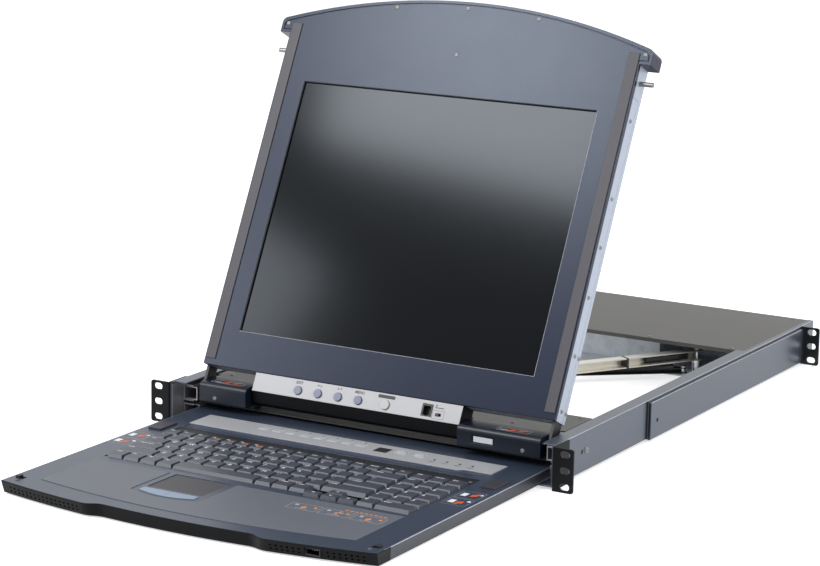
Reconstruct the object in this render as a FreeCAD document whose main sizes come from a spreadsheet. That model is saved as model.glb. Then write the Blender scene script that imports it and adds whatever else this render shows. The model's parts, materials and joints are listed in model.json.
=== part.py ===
import FreeCAD, Part
import math
import os
import re
from types import SimpleNamespace

import Sketcher

# Rackmount console drawer, one rack unit high.
# +X right as seen from the front, +Y to the back of the rack, +Z up, millimetres.
# The origin is the centre of the front rack holes, on the visible face of the front ears.
# It is drawn in use: drawer pulled out, screen unit at the front and tilted open.

SIZES = {
    # Rack ears and their slots
    "rack_half": 232.5,
    "ear_margin": 8.8,
    "ear_throat": 13.5,
    "ear_hole_pitch": 15.875,
    "ear_height": 43.0,
    "ear_gauge": 2.0,
    "ear_corner": 2.5,
    "ear_flange": 32.0,
    "ear_bend": 1.4,
    "slot_width": 6.8,
    "slot_length": 10.2,
    # Side rails
    "rail_gauge": 1.5,
    "rail_top": 21.3,
    "rail_foot": 18.8,
    "rail_lip": 15.0,
    "rail_length": 644.0,
    "rail_nose": 7.0,
    "rail_bend": 1.2,
    "rail_hole_at": 63.0,
    "rail_hole_bore": 4.2,
    "rail_screw_at": 72.5,
    # Depth-adjusting rear sleeves
    "sleeve_depth": 3.5,
    "sleeve_gauge": 1.5,
    "sleeve_start": 210.0,
    "sleeve_top": 19.1,
    "sleeve_foot": 19.6,
    "sleeve_gap": 0.3,
    "sleeve_hole_at": 225.0,
    "rear_ear_at": 609.0,
    # Rear electronics box
    "cover_overhang": 38.0,
    "cover_inset": 6.0,
    "cover_gauge": 1.2,
    "cover_drop": 0.3,
    "cover_apron": 3.0,
    "box_gauge": 1.2,
    "box_inset": 16.0,
    "box_depth": 146.0,
    "bay_width": 108.0,
    "bay_depth": 62.0,
    "port_inset": 18.0,
    "board_inset": 11.0,
    "board_depth": 136.0,
    "board_margin": 8.0,
    "board_lift": 6.0,
    "board_gauge": 1.6,
    "port_pitch": 31.0,
    "port_width": 26.0,
    "port_height": 10.5,
    "inlet_width": 27.0,
    "inlet_height": 20.0,
    # Ball-bearing slides
    "slide_gauge": 1.2,
    "slide_gap": 0.3,
    "slide_depth": 12.0,
    "slide_overlap": 2.3,
    "slide_front": 24.0,
    "panel_slide_height": 17.0,
    "panel_slide_level": 7.0,
    "panel_slide_length": 446.0,
    "drawer_slide_height": 12.6,
    "drawer_slide_level": -10.8,
    "drawer_slide_length": 422.0,
    # Keyboard drawer
    "drawer_inset": 17.0,
    "drawer_front": 270.0,
    "drawer_top": -7.8,
    "drawer_bottom": -20.0,
    "drawer_gauge": 1.2,
    "drawer_corner_at": 293.0,
    "drawer_rear": 160.0,
    "front_bow": 23.0,
    "grip_half": 78.0,
    "grip_depth": 8.5,
    "grip_blend": 20.0,
    "cap_proud": 0.8,
    "cap_slant": 4.0,
    "grip_slant": 1.2,
    "vent_first": 104.0,
    "vent_pitch": 5.4,
    "vent_radius": 1.1,
    "vent_level": 12.6,
    "vent_drop": 3.6,
    # Keyboard: every key is set out from one pitch
    "layout_shift": -2.4,
    "drawn_half": 170.5,
    "overlay_inset": 31.5,
    "key_depth": 19.0,
    "key_gap": 0.8,
    "key_top_inset": 1.5,
    "key_front_slope": 2.6,
    "key_rise": 2.5,
    "key_skirt": 1.8,
    "key_travel": 2.3,
    "key_stem": 5.0,
    "stem_gap": 0.3,
    "keys_front": 173.4,
    "block_units": 14.7,
    "side_gap": 2.4,
    "side_drop": 5.0,
    "function_depth": 14.4,
    "arrow_depth": 11.6,
    "recess_gap": 1.15,
    "recess_rear": 45.0,
    "plate_gauge": 1.2,
    # Palm rest and touchpad
    "rest_gauge": 0.4,
    "rest_rear": 187.5,
    "rest_corner_at": 271.5,
    "rest_bow": 18.0,
    "pad_left": -79.0,
    "pad_width": 60.6,
    "pad_rear": 187.5,
    "pad_depth": 46.5,
    "pad_margin": 8.0,
    "rest_bay_depth": 63.0,
    "rest_bay_bow": 8.5,
    "button_rear": 239.5,
    "button_depth": 8.5,
    "button_bow": 6.6,
    "button_rise": 0.7,
    # Status strip behind the keyboard
    "strip_front": 30.0,
    "strip_rear": 7.0,
    "strip_gauge": 0.8,
    "strip_chamfer": 5.0,
    "strip_step": 35.0,
    "ledge_front": 43.0,
    "ledge_depth": 0.6,
    "port_button_first": -98.5,
    "port_button_pitch": 16.07,
    "port_button_width": 9.0,
    "port_button_depth": 7.0,
    "deck_button_rise": 0.6,
    "mode_button_first": 59.5,
    "mode_button_pitch": 20.3,
    "mode_button_length": 10.0,
    "mode_button_width": 7.0,
    "mode_button_rise": 1.6,
    "buttons_at": -7.5,
    "display_left": 32.6,
    "display_size": 15.0,
    "display_rear": 3.0,
    "display_depth": 14.6,
    "lamp_first": 99.5,
    "lamp_pitch": 13.9,
    "lamp_bore": 1.2,
    "lamps_at": 12.9,
    # Small pieces on the drawer
    "rubber_width": 14.6,
    "rubber_length": 29.0,
    "rubber_height": 1.9,
    "rubber_inset": 14.0,
    "rubber_rear": 40.5,
    "catch_inset": 7.5,
    "catch_at": 276.5,
    "catch_width": 4.0,
    "catch_length": 6.0,
    "catch_rise": 2.2,
    "catch_travel": 4.0,
    "usb_inset": 58.0,
    "usb_width": 15.0,
    "usb_height": 7.0,
    # Screen carriage
    "carriage_inset": 18.2,
    "carriage_front": 37.0,
    "carriage_rear": 117.0,
    "carriage_wall_front": 62.0,
    "carriage_bottom": -4.7,
    "carriage_top": 20.0,
    "carriage_gauge": 1.2,
    "plate_front": 50.0,
    "plate_overhang": 3.0,
    "block_inset": 5.2,
    "left_block_length": 56.1,
    "right_block_length": 90.6,
    "block_screw_inset": 18.8,
    "block_front": 20.0,
    "block_rear": 49.5,
    "block_leg_front": 37.0,
    "block_bottom": 1.0,
    "block_top": 21.5,
    "block_round": 5.0,
    "window_inset": 50.4,
    "window_width": 24.0,
    "window_bottom": 6.2,
    "window_height": 7.4,
    "window_recess": 1.5,
    # Hinge and screen unit
    "hinge_at": 40.0,
    "hinge_level": 11.5,
    "lcd_lean": 26.2,
    "pin_radius": 3.0,
    "pin_clearance": 0.05,
    "arm_inset": 3.6,
    "arm_gauge": 3.0,
    "arm_radius": 8.5,
    "arm_reach": 34.0,
    "face_offset": 14.2,
    "screen_rise": 59.8,
    "bezel_side": 32.3,
    "screen_height": 271.5,
    "screen_recess": 2.4,
    "screen_module": 9.0,
    "panel_inset": 17.0,
    "panel_chin": 38.5,
    "panel_thickness": 23.0,
    "panel_gauge": 1.8,
    "bezel_gauge": 4.0,
    "seam_level": -2.6,
    "seam_width": 0.6,
    "seam_depth": 0.4,
    "handle_ear": 12.25,
    "handle_corner": 5.0,
    "handle_wall": 3.2,
    "handle_root": 322.7,
    "handle_side": 16.0,
    "handle_bow": 33.3,
    "handle_groove": 3.0,
    "groove_depth": 0.8,
    "rubber_strip_inset": 1.5,
    "rubber_strip_width": 11.2,
    "rubber_strip_low": -32.0,
    "rubber_strip_high": 333.5,
    "rubber_strip_rise": 1.0,
    "lock_pin_at": 306.0,
    "lock_pin_radius": 2.4,
    "lock_pin_reach": 14.5,
    "lock_pin_body": 34.0,
    # Control strip under the screen
    "chin_gap": 2.5,
    "drawn_chin": 102.5,
    "chin_top": 20.5,
    "chin_low": 1.6,
    "chin_face_gauge": 0.8,
    "chin_round": 2.5,
    "chin_depth": 9.5,
    "chin_flat": 6.0,
    "chin_pocket": 7.0,
    "menu_button_first": -83.9,
    "menu_button_pitch": 23.45,
    "menu_button_radius": 4.3,
    "menu_button_rise": 1.6,
    "menu_button_level": 9.1,
    "power_button_at": 17.4,
    "power_button_radius": 4.8,
    "jack_centre": 64.6,
    "jack_width": 11.6,
    "jack_height": 12.4,
    "jack_level": 10.9,
    "jack_mouth": 8.0,
    "switch_offset": 13.1,
    "switch_level": 7.8,
    "switch_width": 6.0,
    "switch_height": 3.0,
    "switch_travel": 1.6,
    # Folding cable arms
    "arm_spread": 32.3,
    "arm_height": 11.0,
    "arm_width": 12.0,
    "arm_level": -2.5,
    "arm_pivot_inset": 57.0,
    "arm_pivot_gap": 10.0,
    "arm_hook_gap": 9.0,
    "low_arm_spread": 49.95,
    "low_arm_height": 6.0,
    "low_arm_width": 9.0,
    "low_arm_level": -15.5,
    "low_arm_pivot_inset": 66.0,
    "low_arm_pivot_gap": 26.0,
    "low_arm_hook_gap": 18.0,
    "pivot_radius": 2.5,
    "cord_radius": 4.0,
    "cord_rib": 0.7,
    "cord_rib_width": 2.2,
    "cord_rib_pitch": 4.6,
    "cord_start": 12.0,
    "cord_end": 150.0,
    # Fasteners
    "screw_head": 3.2,
    "screw_head_height": 1.3,
    "screw_shank": 1.6,
    "small_head": 2.2,
    "small_height": 0.9,
}

# Places that follow from the rail's length and the rack's hole spacing, each a sum of sizes
LINKED = {
    "rear_end": ("ear_gauge", "rail_length"),
    "box_front": ("rear_end", "-box_depth"),
    "cover_start": ("box_front", "-cover_overhang"),
    "arm_pivot_y": ("box_front", "-arm_pivot_gap"),
    "arm_hook_y": ("carriage_rear", "-arm_hook_gap"),
    "low_arm_pivot_y": ("box_front", "-low_arm_pivot_gap"),
    "low_arm_hook_y": ("drawer_rear", "low_arm_hook_gap"),
    "ear_tip": ("rack_half", "ear_margin"),
    "rail_half": ("rack_half", "-ear_throat"),
    "sleeve_half": ("rail_half", "sleeve_depth"),
    "cover_half": ("rail_half", "-cover_inset"),
    "box_half": ("rail_half", "-box_inset"),
    "bay_left": ("box_half", "-bay_width"),
    "arm_pivot_x": ("box_half", "-arm_pivot_inset"),
    "low_arm_pivot_x": ("box_half", "-low_arm_pivot_inset"),
    "drawer_half": ("rail_half", "-drawer_inset"),
    "overlay_half": ("drawer_half", "-overlay_inset"),
    "rubber_centre": ("drawer_half", "-rubber_inset"),
    "catch_centre": ("drawer_half", "-catch_inset"),
    "usb_centre": ("drawer_half", "-usb_inset"),
    "carriage_half": ("rail_half", "-carriage_inset"),
    "block_outer": ("carriage_half", "-block_inset"),
    "left_block_inner": ("block_outer", "-left_block_length"),
    "right_block_inner": ("block_outer", "-right_block_length"),
    "window_left": ("block_outer", "-window_inset", "-window_width"),
    "arm_inner": ("carriage_half", "-arm_inset"),
    "chin_left": ("left_block_inner", "-chin_gap"),
    "chin_right": ("right_block_inner", "-chin_gap"),
    "panel_half": ("rail_half", "-panel_inset"),
    "screen_half": ("panel_half", "-bezel_side"),
    "handle_half": ("panel_half", "handle_ear"),
    "rubber_strip_outer": ("panel_half", "-rubber_strip_inset"),
    "lock_pin_tip": ("panel_half", "lock_pin_reach"),
}

doc = FreeCAD.newDocument("ConsoleDrawer")
sheet = doc.addObject("Spreadsheet::Sheet", "Sizes")
for row, (alias, number) in enumerate(SIZES.items(), start=1):
    sheet.set(f"A{row}", alias)
    sheet.set(f"B{row}", str(number))
    sheet.setAlias(f"B{row}", alias)
doc.recompute()
s = SimpleNamespace(**{alias: float(sheet.get(alias)) for alias in SIZES})
TEXTS = {alias: "Sizes." + alias for alias in SIZES}
for name, terms in LINKED.items():
    signed = [(-1 if term[0] == "-" else 1, term.lstrip("-")) for term in terms]
    setattr(s, name, sum(sign * getattr(s, term) for sign, term in signed))
    TEXTS[name] = "(" + " + ".join(f"{sign} * {TEXTS[term]}" for sign, term in signed) + ")"
WORD = re.compile(r"[a-z_]+")
subparts = {}


def bind(item, prop, text):
    """Ties a property to the sheet; a name in the text means its cell, or its sum of cells."""
    linked = WORD.sub(lambda word: TEXTS.get(word[0], word[0]), text)
    item.setExpression(prop, linked)


def place(item, x="0", y="0", z="0"):
    """Puts an item at a point given by sheet expressions."""
    for axis, text in zip("xyz", (x, y, z)):
        bind(item, "Placement.Base." + axis, text)
    return item


def block(name, x, y, z):
    """A box between two expressions on each axis."""
    item = doc.addObject("Part::Box", name)
    for prop, (low, high) in zip(("Length", "Width", "Height"), (x, y, z)):
        bind(item, prop, f"({high}) - ({low})")
    return place(item, x[0], y[0], z[0])


TURNS = {
    "x": FreeCAD.Rotation(FreeCAD.Vector(0, 1, 0), 90),
    "y": FreeCAD.Rotation(FreeCAD.Vector(1, 0, 0), -90),
    "z": FreeCAD.Rotation(),
}


def rod(name, radius, along, start, length, across=("0", "0")):
    """A round bar along one axis; across holds the other two coordinates in x, y, z order."""
    item = doc.addObject("Part::Cylinder", name)
    bind(item, "Radius", radius)
    bind(item, "Height", length)
    item.Placement.Rotation = TURNS[along]
    where = list(across)
    where.insert("xyz".index(along), start)
    return place(item, *where)


def join(name, *items):
    """One solid from several that touch or overlap."""
    item = doc.addObject("Part::MultiFuse", name)
    item.Shapes = list(items)
    item.Refine = True
    return item


def bundle(name, *items):
    """Separate solids kept in one group."""
    item = doc.addObject("Part::Compound", name)
    item.Links = list(items)
    return item


def carve(name, base, *tools):
    """The base with every tool cut away."""
    item = doc.addObject("Part::Cut", name)
    item.Base = base
    item.Tool = tools[0] if len(tools) == 1 else join(name + "_tools", *tools)
    item.Refine = True
    return item


def mirrored(name, source):
    """The left-hand twin of a right-hand piece."""
    item = doc.addObject("Part::Mirroring", name)
    item.Source = source
    item.Normal = FreeCAD.Vector(1, 0, 0)
    return item


def shaped(name, shape):
    """A free form whose sizes were read from the sheet."""
    item = doc.addObject("Part::Feature", name)
    item.Shape = shape
    return item


PLANES = {"x": "YZ_Plane", "y": "XZ_Plane", "z": "XY_Plane"}


def prism(name, along, corners, start, length, rounds=()):
    """A body padded along one axis from a sketch with its corners tied to the sheet.

    The corners are pairs of expressions in the plane's own two axes. Each round is a
    test on an edge's middle and direction with the radius that its edges get.
    """
    body = doc.addObject("PartDesign::Body", name)
    plane = next(item for item in body.Origin.OriginFeatures if item.Role == PLANES[along])
    sketch = body.newObject("Sketcher::SketchObject", name + "_sketch")
    sketch.AttachmentSupport = (plane, [""])
    sketch.MapMode = "FlatFace"
    bind(sketch, "AttachmentOffset.Base.z", f"-({start})" if along == "y" else start)
    count = len(corners)
    around = [2 * math.pi * i / count for i in range(count)]
    rough = [FreeCAD.Vector(10 * math.cos(a), 10 * math.sin(a), 0) for a in around]
    for i in range(count):
        sketch.addGeometry(Part.LineSegment(rough[i], rough[(i + 1) % count]), False)
    for i in range(count):
        sketch.addConstraint(Sketcher.Constraint("Coincident", i, 2, (i + 1) % count, 1))
    for i, corner in enumerate(corners):
        for kind, text, value in zip(("DistanceX", "DistanceY"), corner, rough[i]):
            index = sketch.addConstraint(Sketcher.Constraint(kind, -1, 1, i, 1, value))
            bind(sketch, f"Constraints[{index}]", text)
    pad = body.newObject("PartDesign::Pad", name + "_pad")
    pad.Profile = sketch
    bind(pad, "Length", length)
    pad.Reversed = along == "y"
    last = pad
    for number, (test, radius) in enumerate(rounds):
        doc.recompute()
        names = [f"Edge{i}" for i, edge in enumerate(body.Tip.Shape.Edges, start=1)
                 if test(edge.CenterOfMass, edge.tangentAt(edge.FirstParameter))]
        fillet = body.newObject("PartDesign::Fillet", f"{name}_round_{number}")
        fillet.Base = (last, names)
        bind(fillet, "Radius", radius)
        last = fillet
    return body


def finish(label, item):
    """Names a finished sub-part."""
    item.Label = label
    subparts[label] = item
    return item


def runs(axis, test):
    """A test for edges that run along one axis and whose middle passes a further test."""
    return lambda middle, line: abs(getattr(line, axis)) > 0.99 and test(middle)


# Rack ears
def rack_slots(name, y, length):
    """Cutters for the three rack slots of a right-hand ear: flat sides with round ends."""
    reach = "(slot_length - slot_width) / 2"
    tools = []
    for number, level in enumerate(("-ear_hole_pitch", "0", "ear_hole_pitch")):
        spot = f"{name}_{number}"
        tools.append(block(spot, (f"rack_half - {reach}", f"rack_half + {reach}"),
                           (y, f"{y} + {length}"),
                           (f"{level} - slot_width / 2", f"{level} + slot_width / 2")))
        for side, sign in (("inner", "-"), ("outer", "+")):
            tools.append(rod(f"{spot}_{side}", "slot_width / 2", "y", y, length,
                             (f"rack_half {sign} {reach}", level)))
    return join(name, *tools)


def outer_corner(middle):
    """Tells the two free corners of an ear from its other edges."""
    return middle.x > s.ear_tip - s.ear_corner


front_ear = prism("front_ear", "z", [
    ("rail_half", "0"), ("ear_tip", "0"), ("ear_tip", "ear_gauge"),
    ("rail_half + ear_gauge", "ear_gauge"), ("rail_half + ear_gauge", "ear_flange"),
    ("rail_half", "ear_flange")], "-ear_height / 2", "ear_height",
    [(runs("y", outer_corner), "ear_corner"),
     (runs("z", lambda middle: middle.x < s.rail_half + 0.5 and middle.y < 1), "ear_bend")])
front_slots = rack_slots("front_slots", "-1", "ear_gauge + 2")
ear_right = finish("ear_right", carve("ear_right_cut", front_ear, front_slots))
finish("ear_left", mirrored("ear_left_turned", ear_right))

# Side rails: channels with both lips turned inwards
rail_form = prism("rail_form", "y", [
    ("rail_half", "-rail_foot"), ("rail_half", "rail_top"),
    ("rail_half - rail_lip", "rail_top"), ("rail_half - rail_lip", "rail_top - rail_gauge"),
    ("rail_half - rail_gauge", "rail_top - rail_gauge"),
    ("rail_half - rail_gauge", "rail_gauge - rail_foot"),
    ("rail_half - rail_lip", "rail_gauge - rail_foot"),
    ("rail_half - rail_lip", "-rail_foot")], "ear_gauge", "rail_length",
    [(runs("y", lambda middle: middle.x > s.rail_half - 0.5), "rail_bend")])
rail_nose = block("rail_nose_relief",
                  ("rail_half - rail_lip - 1", "rail_half - rail_gauge"),
                  ("0", "ear_gauge + rail_nose"), ("rail_top - rail_gauge", "rail_top + 1"))
rail_seat = block("cover_relief",
                  ("rail_half - rail_lip - 1", "cover_half + cover_drop"),
                  ("cover_start - cover_drop", "rear_end + 1"),
                  ("rail_top - rail_gauge - 0.1", "rail_top + 1"))
rail_hole = rod("rail_hole", "rail_hole_bore / 2", "x", "rail_half - 3", "4",
                ("rail_hole_at", "2"))
rail_tap = rod("rail_tap", "screw_shank", "x", "rail_half - 3", "4", ("rail_screw_at", "1.5"))
rail_right = finish("rail_right", carve("rail_right_cut", rail_form, rail_nose, rail_seat,
                                        rail_hole, rail_tap))
finish("rail_left", mirrored("rail_left_turned", rail_right))

# Sliding rear brackets with ears of their own
sleeve_form = prism("sleeve_form", "y", [
    ("sleeve_half", "-sleeve_foot"), ("sleeve_half", "sleeve_top"),
    ("rail_half + sleeve_gap", "sleeve_top"),
    ("rail_half + sleeve_gap", "sleeve_top - sleeve_gauge"),
    ("sleeve_half - sleeve_gauge", "sleeve_top - sleeve_gauge"),
    ("sleeve_half - sleeve_gauge", "sleeve_gauge - sleeve_foot"),
    ("rail_half + sleeve_gap", "sleeve_gauge - sleeve_foot"),
    ("rail_half + sleeve_gap", "-sleeve_foot")], "sleeve_start", "rear_ear_at - sleeve_start",
    [(runs("y", lambda middle: middle.x > s.sleeve_half - 0.5), "rail_bend")])
rear_ear = prism("rear_ear", "y", [
    ("rail_half + sleeve_gap", "-ear_height / 2"), ("ear_tip", "-ear_height / 2"),
    ("ear_tip", "ear_height / 2"), ("rail_half + sleeve_gap", "ear_height / 2")],
    "rear_ear_at", "ear_gauge", [(runs("y", outer_corner), "ear_corner")])
rear_slots = rack_slots("rear_slots", "rear_ear_at - 1", "ear_gauge + 2")
sleeve_hole = rod("sleeve_hole", "rail_hole_bore / 2", "x", "sleeve_half - 3", "4",
                  ("sleeve_hole_at", "-1.5"))
rear_bracket = join("rear_bracket_form", sleeve_form, rear_ear)
rear_bracket_right = finish("rear_bracket_right",
                            carve("rear_bracket_cut", rear_bracket, rear_slots, sleeve_hole))
finish("rear_bracket_left", mirrored("rear_bracket_turned", rear_bracket_right))


# Ball-bearing slides: outer members on the rails, inner members on what moves
def outer_member(name, height, level, length):
    """A C section against a rail, open towards the middle of the console."""
    web = "rail_half - rail_gauge"
    mouth = f"{web} - slide_depth"
    low, high = f"{level} - {height} / 2", f"{level} + {height} / 2"
    back = f"{web} - slide_gauge"
    return prism(name, "y", [
        (web, low), (web, high), (mouth, high), (mouth, f"{high} - slide_gauge"),
        (back, f"{high} - slide_gauge"), (back, f"{low} + slide_gauge"),
        (mouth, f"{low} + slide_gauge"), (mouth, low)], "slide_front", length)


def inner_member(name, web, height, level, front, rear):
    """A C section that runs inside an outer member, open towards the rail."""
    half = f"({height} / 2 - slide_gauge - slide_gap)"
    tip = "rail_half - rail_gauge - slide_gauge - slide_overlap"
    low, high = f"{level} - {half}", f"{level} + {half}"
    return prism(name, "y", [
        (web, low), (tip, low), (tip, f"{low} + slide_gauge"),
        (f"{web} + slide_gauge", f"{low} + slide_gauge"),
        (f"{web} + slide_gauge", f"{high} - slide_gauge"), (tip, f"{high} - slide_gauge"),
        (tip, high), (web, high)], front, f"{rear} - {front}")


outer_members = []
for size in ("panel", "drawer"):
    member = outer_member(f"{size}_outer_member", f"{size}_slide_height", f"{size}_slide_level",
                          f"{size}_slide_length")
    outer_members += [member, mirrored(f"{size}_outer_member_turned", member)]
finish("slide_outer_members", bundle("outer_member_set", *outer_members))

# Galvanised base of the rear box, with a bay that the cable arms fold into
half_box = "box_half"
box_floor = "rail_gauge - rail_foot"
wall_top = "rail_top - rail_gauge"
bay_rear = "(box_front + bay_depth)"
base_floor = block("base_floor", ("0.3 - rail_half + rail_gauge",
                                  "rail_half - rail_gauge - 0.3"),
                   ("cover_start", "rear_end"), (box_floor, f"{box_floor} + box_gauge"))
box_height = (box_floor, wall_top)
base_walls = [
    block("front_wall", (f"-{half_box}", "bay_left + box_gauge"),
          ("box_front", "box_front + box_gauge"), box_height),
    block("bay_side", ("bay_left", "bay_left + box_gauge"), ("box_front", bay_rear), box_height),
    block("bay_back", ("bay_left", half_box), (bay_rear, f"{bay_rear} + box_gauge"), box_height),
    block("left_wall", (f"-{half_box}", f"box_gauge - {half_box}"), ("box_front", "rear_end"),
          box_height),
    block("right_wall", (f"{half_box} - box_gauge", half_box), (bay_rear, "rear_end"), box_height),
    block("rear_wall", (f"-{half_box}", half_box), ("rear_end - box_gauge", "rear_end"),
          box_height)]
PORTS = range(8)
ports_left = "port_inset - box_half"
inlet_left = "(bay_left + 5)"
board_top = f"({box_floor} + box_gauge + board_lift + board_gauge)"
port_openings = [
    block(f"port_opening_{i}",
          (f"{ports_left} + {i} * port_pitch",
           f"{ports_left} + {i} * port_pitch + port_width"),
          ("rear_end - 3", "rear_end + 1"),
          (f"{board_top} + 2", f"{board_top} + 2 + port_height")) for i in PORTS]
inlet_opening = block("inlet_opening", (inlet_left, f"{inlet_left} + inlet_width"),
                      ("rear_end - 3", "rear_end + 1"), ("-11", "inlet_height - 11"))
finish("rear_base", carve("rear_base_cut", join("rear_base_form", base_floor, *base_walls),
                          *port_openings, inlet_opening))
port_shells = []
for i in PORTS:
    left = f"{ports_left} + {i} * port_pitch"
    behind = block(f"port_body_{i}", (f"{left} - 2", f"{left} + port_width + 2"),
                   ("rear_end - 16", "rear_end - box_gauge"),
                   (board_top, f"{board_top} + port_height + 3.5"))
    nose = block(f"port_nose_{i}", (f"{left} + 0.3", f"{left} + port_width - 0.3"),
                 ("rear_end - box_gauge", "rear_end + 5"),
                 (f"{board_top} + 2.3", f"{board_top} + 1.7 + port_height"))
    mouth = block(f"port_mouth_{i}", (f"{left} + 1.6", f"{left} + port_width - 1.6"),
                  ("rear_end - 4", "rear_end + 6"),
                  (f"{board_top} + 3.4", f"{board_top} + 0.6 + port_height"))
    port_shells.append(carve(f"port_{i}", join(f"port_form_{i}", behind, nose), mouth))
inlet_body = block("inlet_body", (f"{inlet_left} - 2", f"{inlet_left} + inlet_width + 2"),
                   ("rear_end - 24", "rear_end - box_gauge"), ("-13", "inlet_height - 9"))
inlet_nose = block("inlet_nose", (f"{inlet_left} + 0.3", f"{inlet_left} + inlet_width - 0.3"),
                   ("rear_end - box_gauge", "rear_end + 1.5"),
                   ("-10.7", "inlet_height - 11.3"))
inlet_mouth = block("inlet_mouth", (f"{inlet_left} + 3", f"{inlet_left} + inlet_width - 3"),
                    ("rear_end - 16", "rear_end + 2"), ("-8", "inlet_height - 14"))
power_inlet = carve("power_inlet", join("inlet_form", inlet_body, inlet_nose), inlet_mouth)
finish("rear_connectors", bundle("rear_connector_set", *port_shells, power_inlet))

# Cover of the rear box, hooked over its front edge
cover_low, cover_high = wall_top, f"({wall_top} + cover_gauge)"
cover_top = block("cover_top", ("-cover_half", "cover_half"), ("cover_start", "rear_end"),
                  (cover_low, cover_high))
cover_front = block("cover_front", ("-cover_half", "cover_half"),
                    ("cover_start", "cover_start + cover_gauge"),
                    (f"{cover_low} - cover_apron", cover_high))
cover_side = block("cover_side", ("cover_half - cover_gauge", "cover_half"),
                   ("cover_start", "rear_end"), (f"{cover_low} - cover_apron", cover_high))
rear_cover_form = join("rear_cover_form", cover_top, cover_front, cover_side,
                       mirrored("cover_side_turned", cover_side))

# Board on four posts behind the bay
board_low = f"({box_floor} + box_gauge + board_lift)"
board_left, board_front = "(board_inset - box_half)", "(rear_end - board_depth - 4)"
board_right = "(8 * port_pitch + 35 - box_half)"
board = block("board_plate", (board_left, board_right), (board_front, "rear_end - 4"),
              (board_low, board_top))
posts = [rod(f"board_post_{across}_{along}", "3", "z", f"{box_floor} + box_gauge", "board_lift",
             (x, y))
         for across, x in enumerate((f"{board_left} + board_margin",
                                     f"{board_right} - board_margin"))
         for along, y in enumerate((f"{board_front} + board_margin", "rear_end - 30"))]
chips = [block(f"chip_{x}", (f"{x} - box_half", f"{x + wide} - box_half"),
               (f"rear_end - {y}", f"rear_end - {y} + {deep}"),
               (board_top, f"{board_top} + {tall}"))
         for x, y, wide, deep, tall in ((43, 110, 28, 28, 2.4), (113, 118, 40, 14, 3),
                                        (183, 105, 22, 22, 2), (233, 118, 16, 16, 12))]
finish("main_board", join("board_form", board, *posts, *chips))


def vec(x, y, z=0.0):
    """A point or a direction."""
    return FreeCAD.Vector(x, y, z)


# Screws: a low round head with a six-sided socket on a plain shank
def screw(spot, outward, radius, height, shank, depth):
    """One screw standing on a surface point, with its head on the outward side."""
    head = Part.makeCone(radius, radius * 0.74, height, spot, outward)
    body = head.fuse(Part.makeCylinder(shank, depth, spot, outward * -1))
    across = radius * 0.36
    rim = [vec(across * math.cos(i * math.pi / 3), across * math.sin(i * math.pi / 3), 0)
           for i in range(6)]
    socket = Part.Face(Part.makePolygon(rim + rim[:1])).extrude(vec(0, 0, height))
    turn = FreeCAD.Rotation(vec(0, 0, 1), outward)
    socket.Placement = FreeCAD.Placement(spot + outward * (height / 2), turn)
    return body.cut(socket)


def screws(spots, outward, size="small", depth=2.4):
    """A list of screws of one size; small ones hold covers, the others hold frames."""
    radius, height = ((s.small_head, s.small_height) if size == "small"
                      else (s.screw_head, s.screw_head_height))
    shank = s.screw_shank if size != "small" else s.screw_shank * 0.75
    return [screw(spot, outward, radius, height, shank, depth) for spot in spots]


def taps(name, spots, outward, size="small", depth=2.4):
    """The holes for the same screws, as one cutter."""
    shank = s.screw_shank if size != "small" else s.screw_shank * 0.75
    start = [spot + outward * 0.5 for spot in spots]
    return shaped(name, Part.makeCompound(
        [Part.makeCylinder(shank, depth + 0.5, spot, outward * -1) for spot in start]))


UP, RIGHT, LEFT, FRONT, BACK = vec(0, 0, 1), vec(1, 0, 0), vec(-1, 0, 0), vec(0, -1, 0), vec(0, 1, 0)
cover_level = s.rail_top - s.rail_gauge + s.cover_gauge
rear_edge = s.rear_end
COVER_SPOTS = [vec(share * (s.cover_half - 17), y, cover_level)
               for y in (s.cover_start + 6.5, rear_edge - 5) for share in (-1, -0.5, 0, 0.5, 1)]
RAIL_SPOT = vec(s.rail_half, s.rail_screw_at, 1.5)
finish("rear_cover", carve("rear_cover_cut", rear_cover_form,
                           taps("cover_taps", COVER_SPOTS, UP, depth=1.2)))
frame_screws = screws(COVER_SPOTS, UP, depth=1.2)
frame_screws += screws([RAIL_SPOT], RIGHT, "large", 1.5)
frame_screws += screws([vec(-RAIL_SPOT.x, RAIL_SPOT.y, RAIL_SPOT.z)], LEFT, "large", 1.5)
finish("frame_screws", shaped("frame_screw_set", Part.makeCompound(frame_screws)))

# Pivot posts of the cable arms, standing on the floor of the bay
base_top = f"{box_floor} + box_gauge"
post = rod("arm_post", "6", "z", base_top, f"arm_level - 0.2 - ({base_top})",
           ("arm_pivot_x", "arm_pivot_y"))
post_pin = rod("arm_post_pin", "pivot_radius", "z", base_top,
               f"arm_level + arm_height + 1.4 - ({base_top})", ("arm_pivot_x", "arm_pivot_y"))
post_head = rod("arm_post_head", "pivot_radius + 1.6", "z", "arm_level + arm_height + 0.3", "1.4",
                ("arm_pivot_x", "arm_pivot_y"))
low_post = rod("low_arm_post", "4.5", "z", base_top, f"low_arm_level - 0.2 - ({base_top})",
               ("low_arm_pivot_x", "low_arm_pivot_y"))
low_pin = rod("low_arm_pin", "pivot_radius", "z", base_top,
              f"low_arm_level + low_arm_height + 1.3 - ({base_top})",
              ("low_arm_pivot_x", "low_arm_pivot_y"))
low_head = rod("low_arm_head", "pivot_radius + 1.6", "z", "low_arm_level + low_arm_height + 0.3",
               "1.2", ("low_arm_pivot_x", "low_arm_pivot_y"))
finish("arm_bracket", bundle("arm_post_set", join("arm_post_form", post, post_pin, post_head),
                             join("low_post_form", low_post, low_pin, low_head)))


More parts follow.
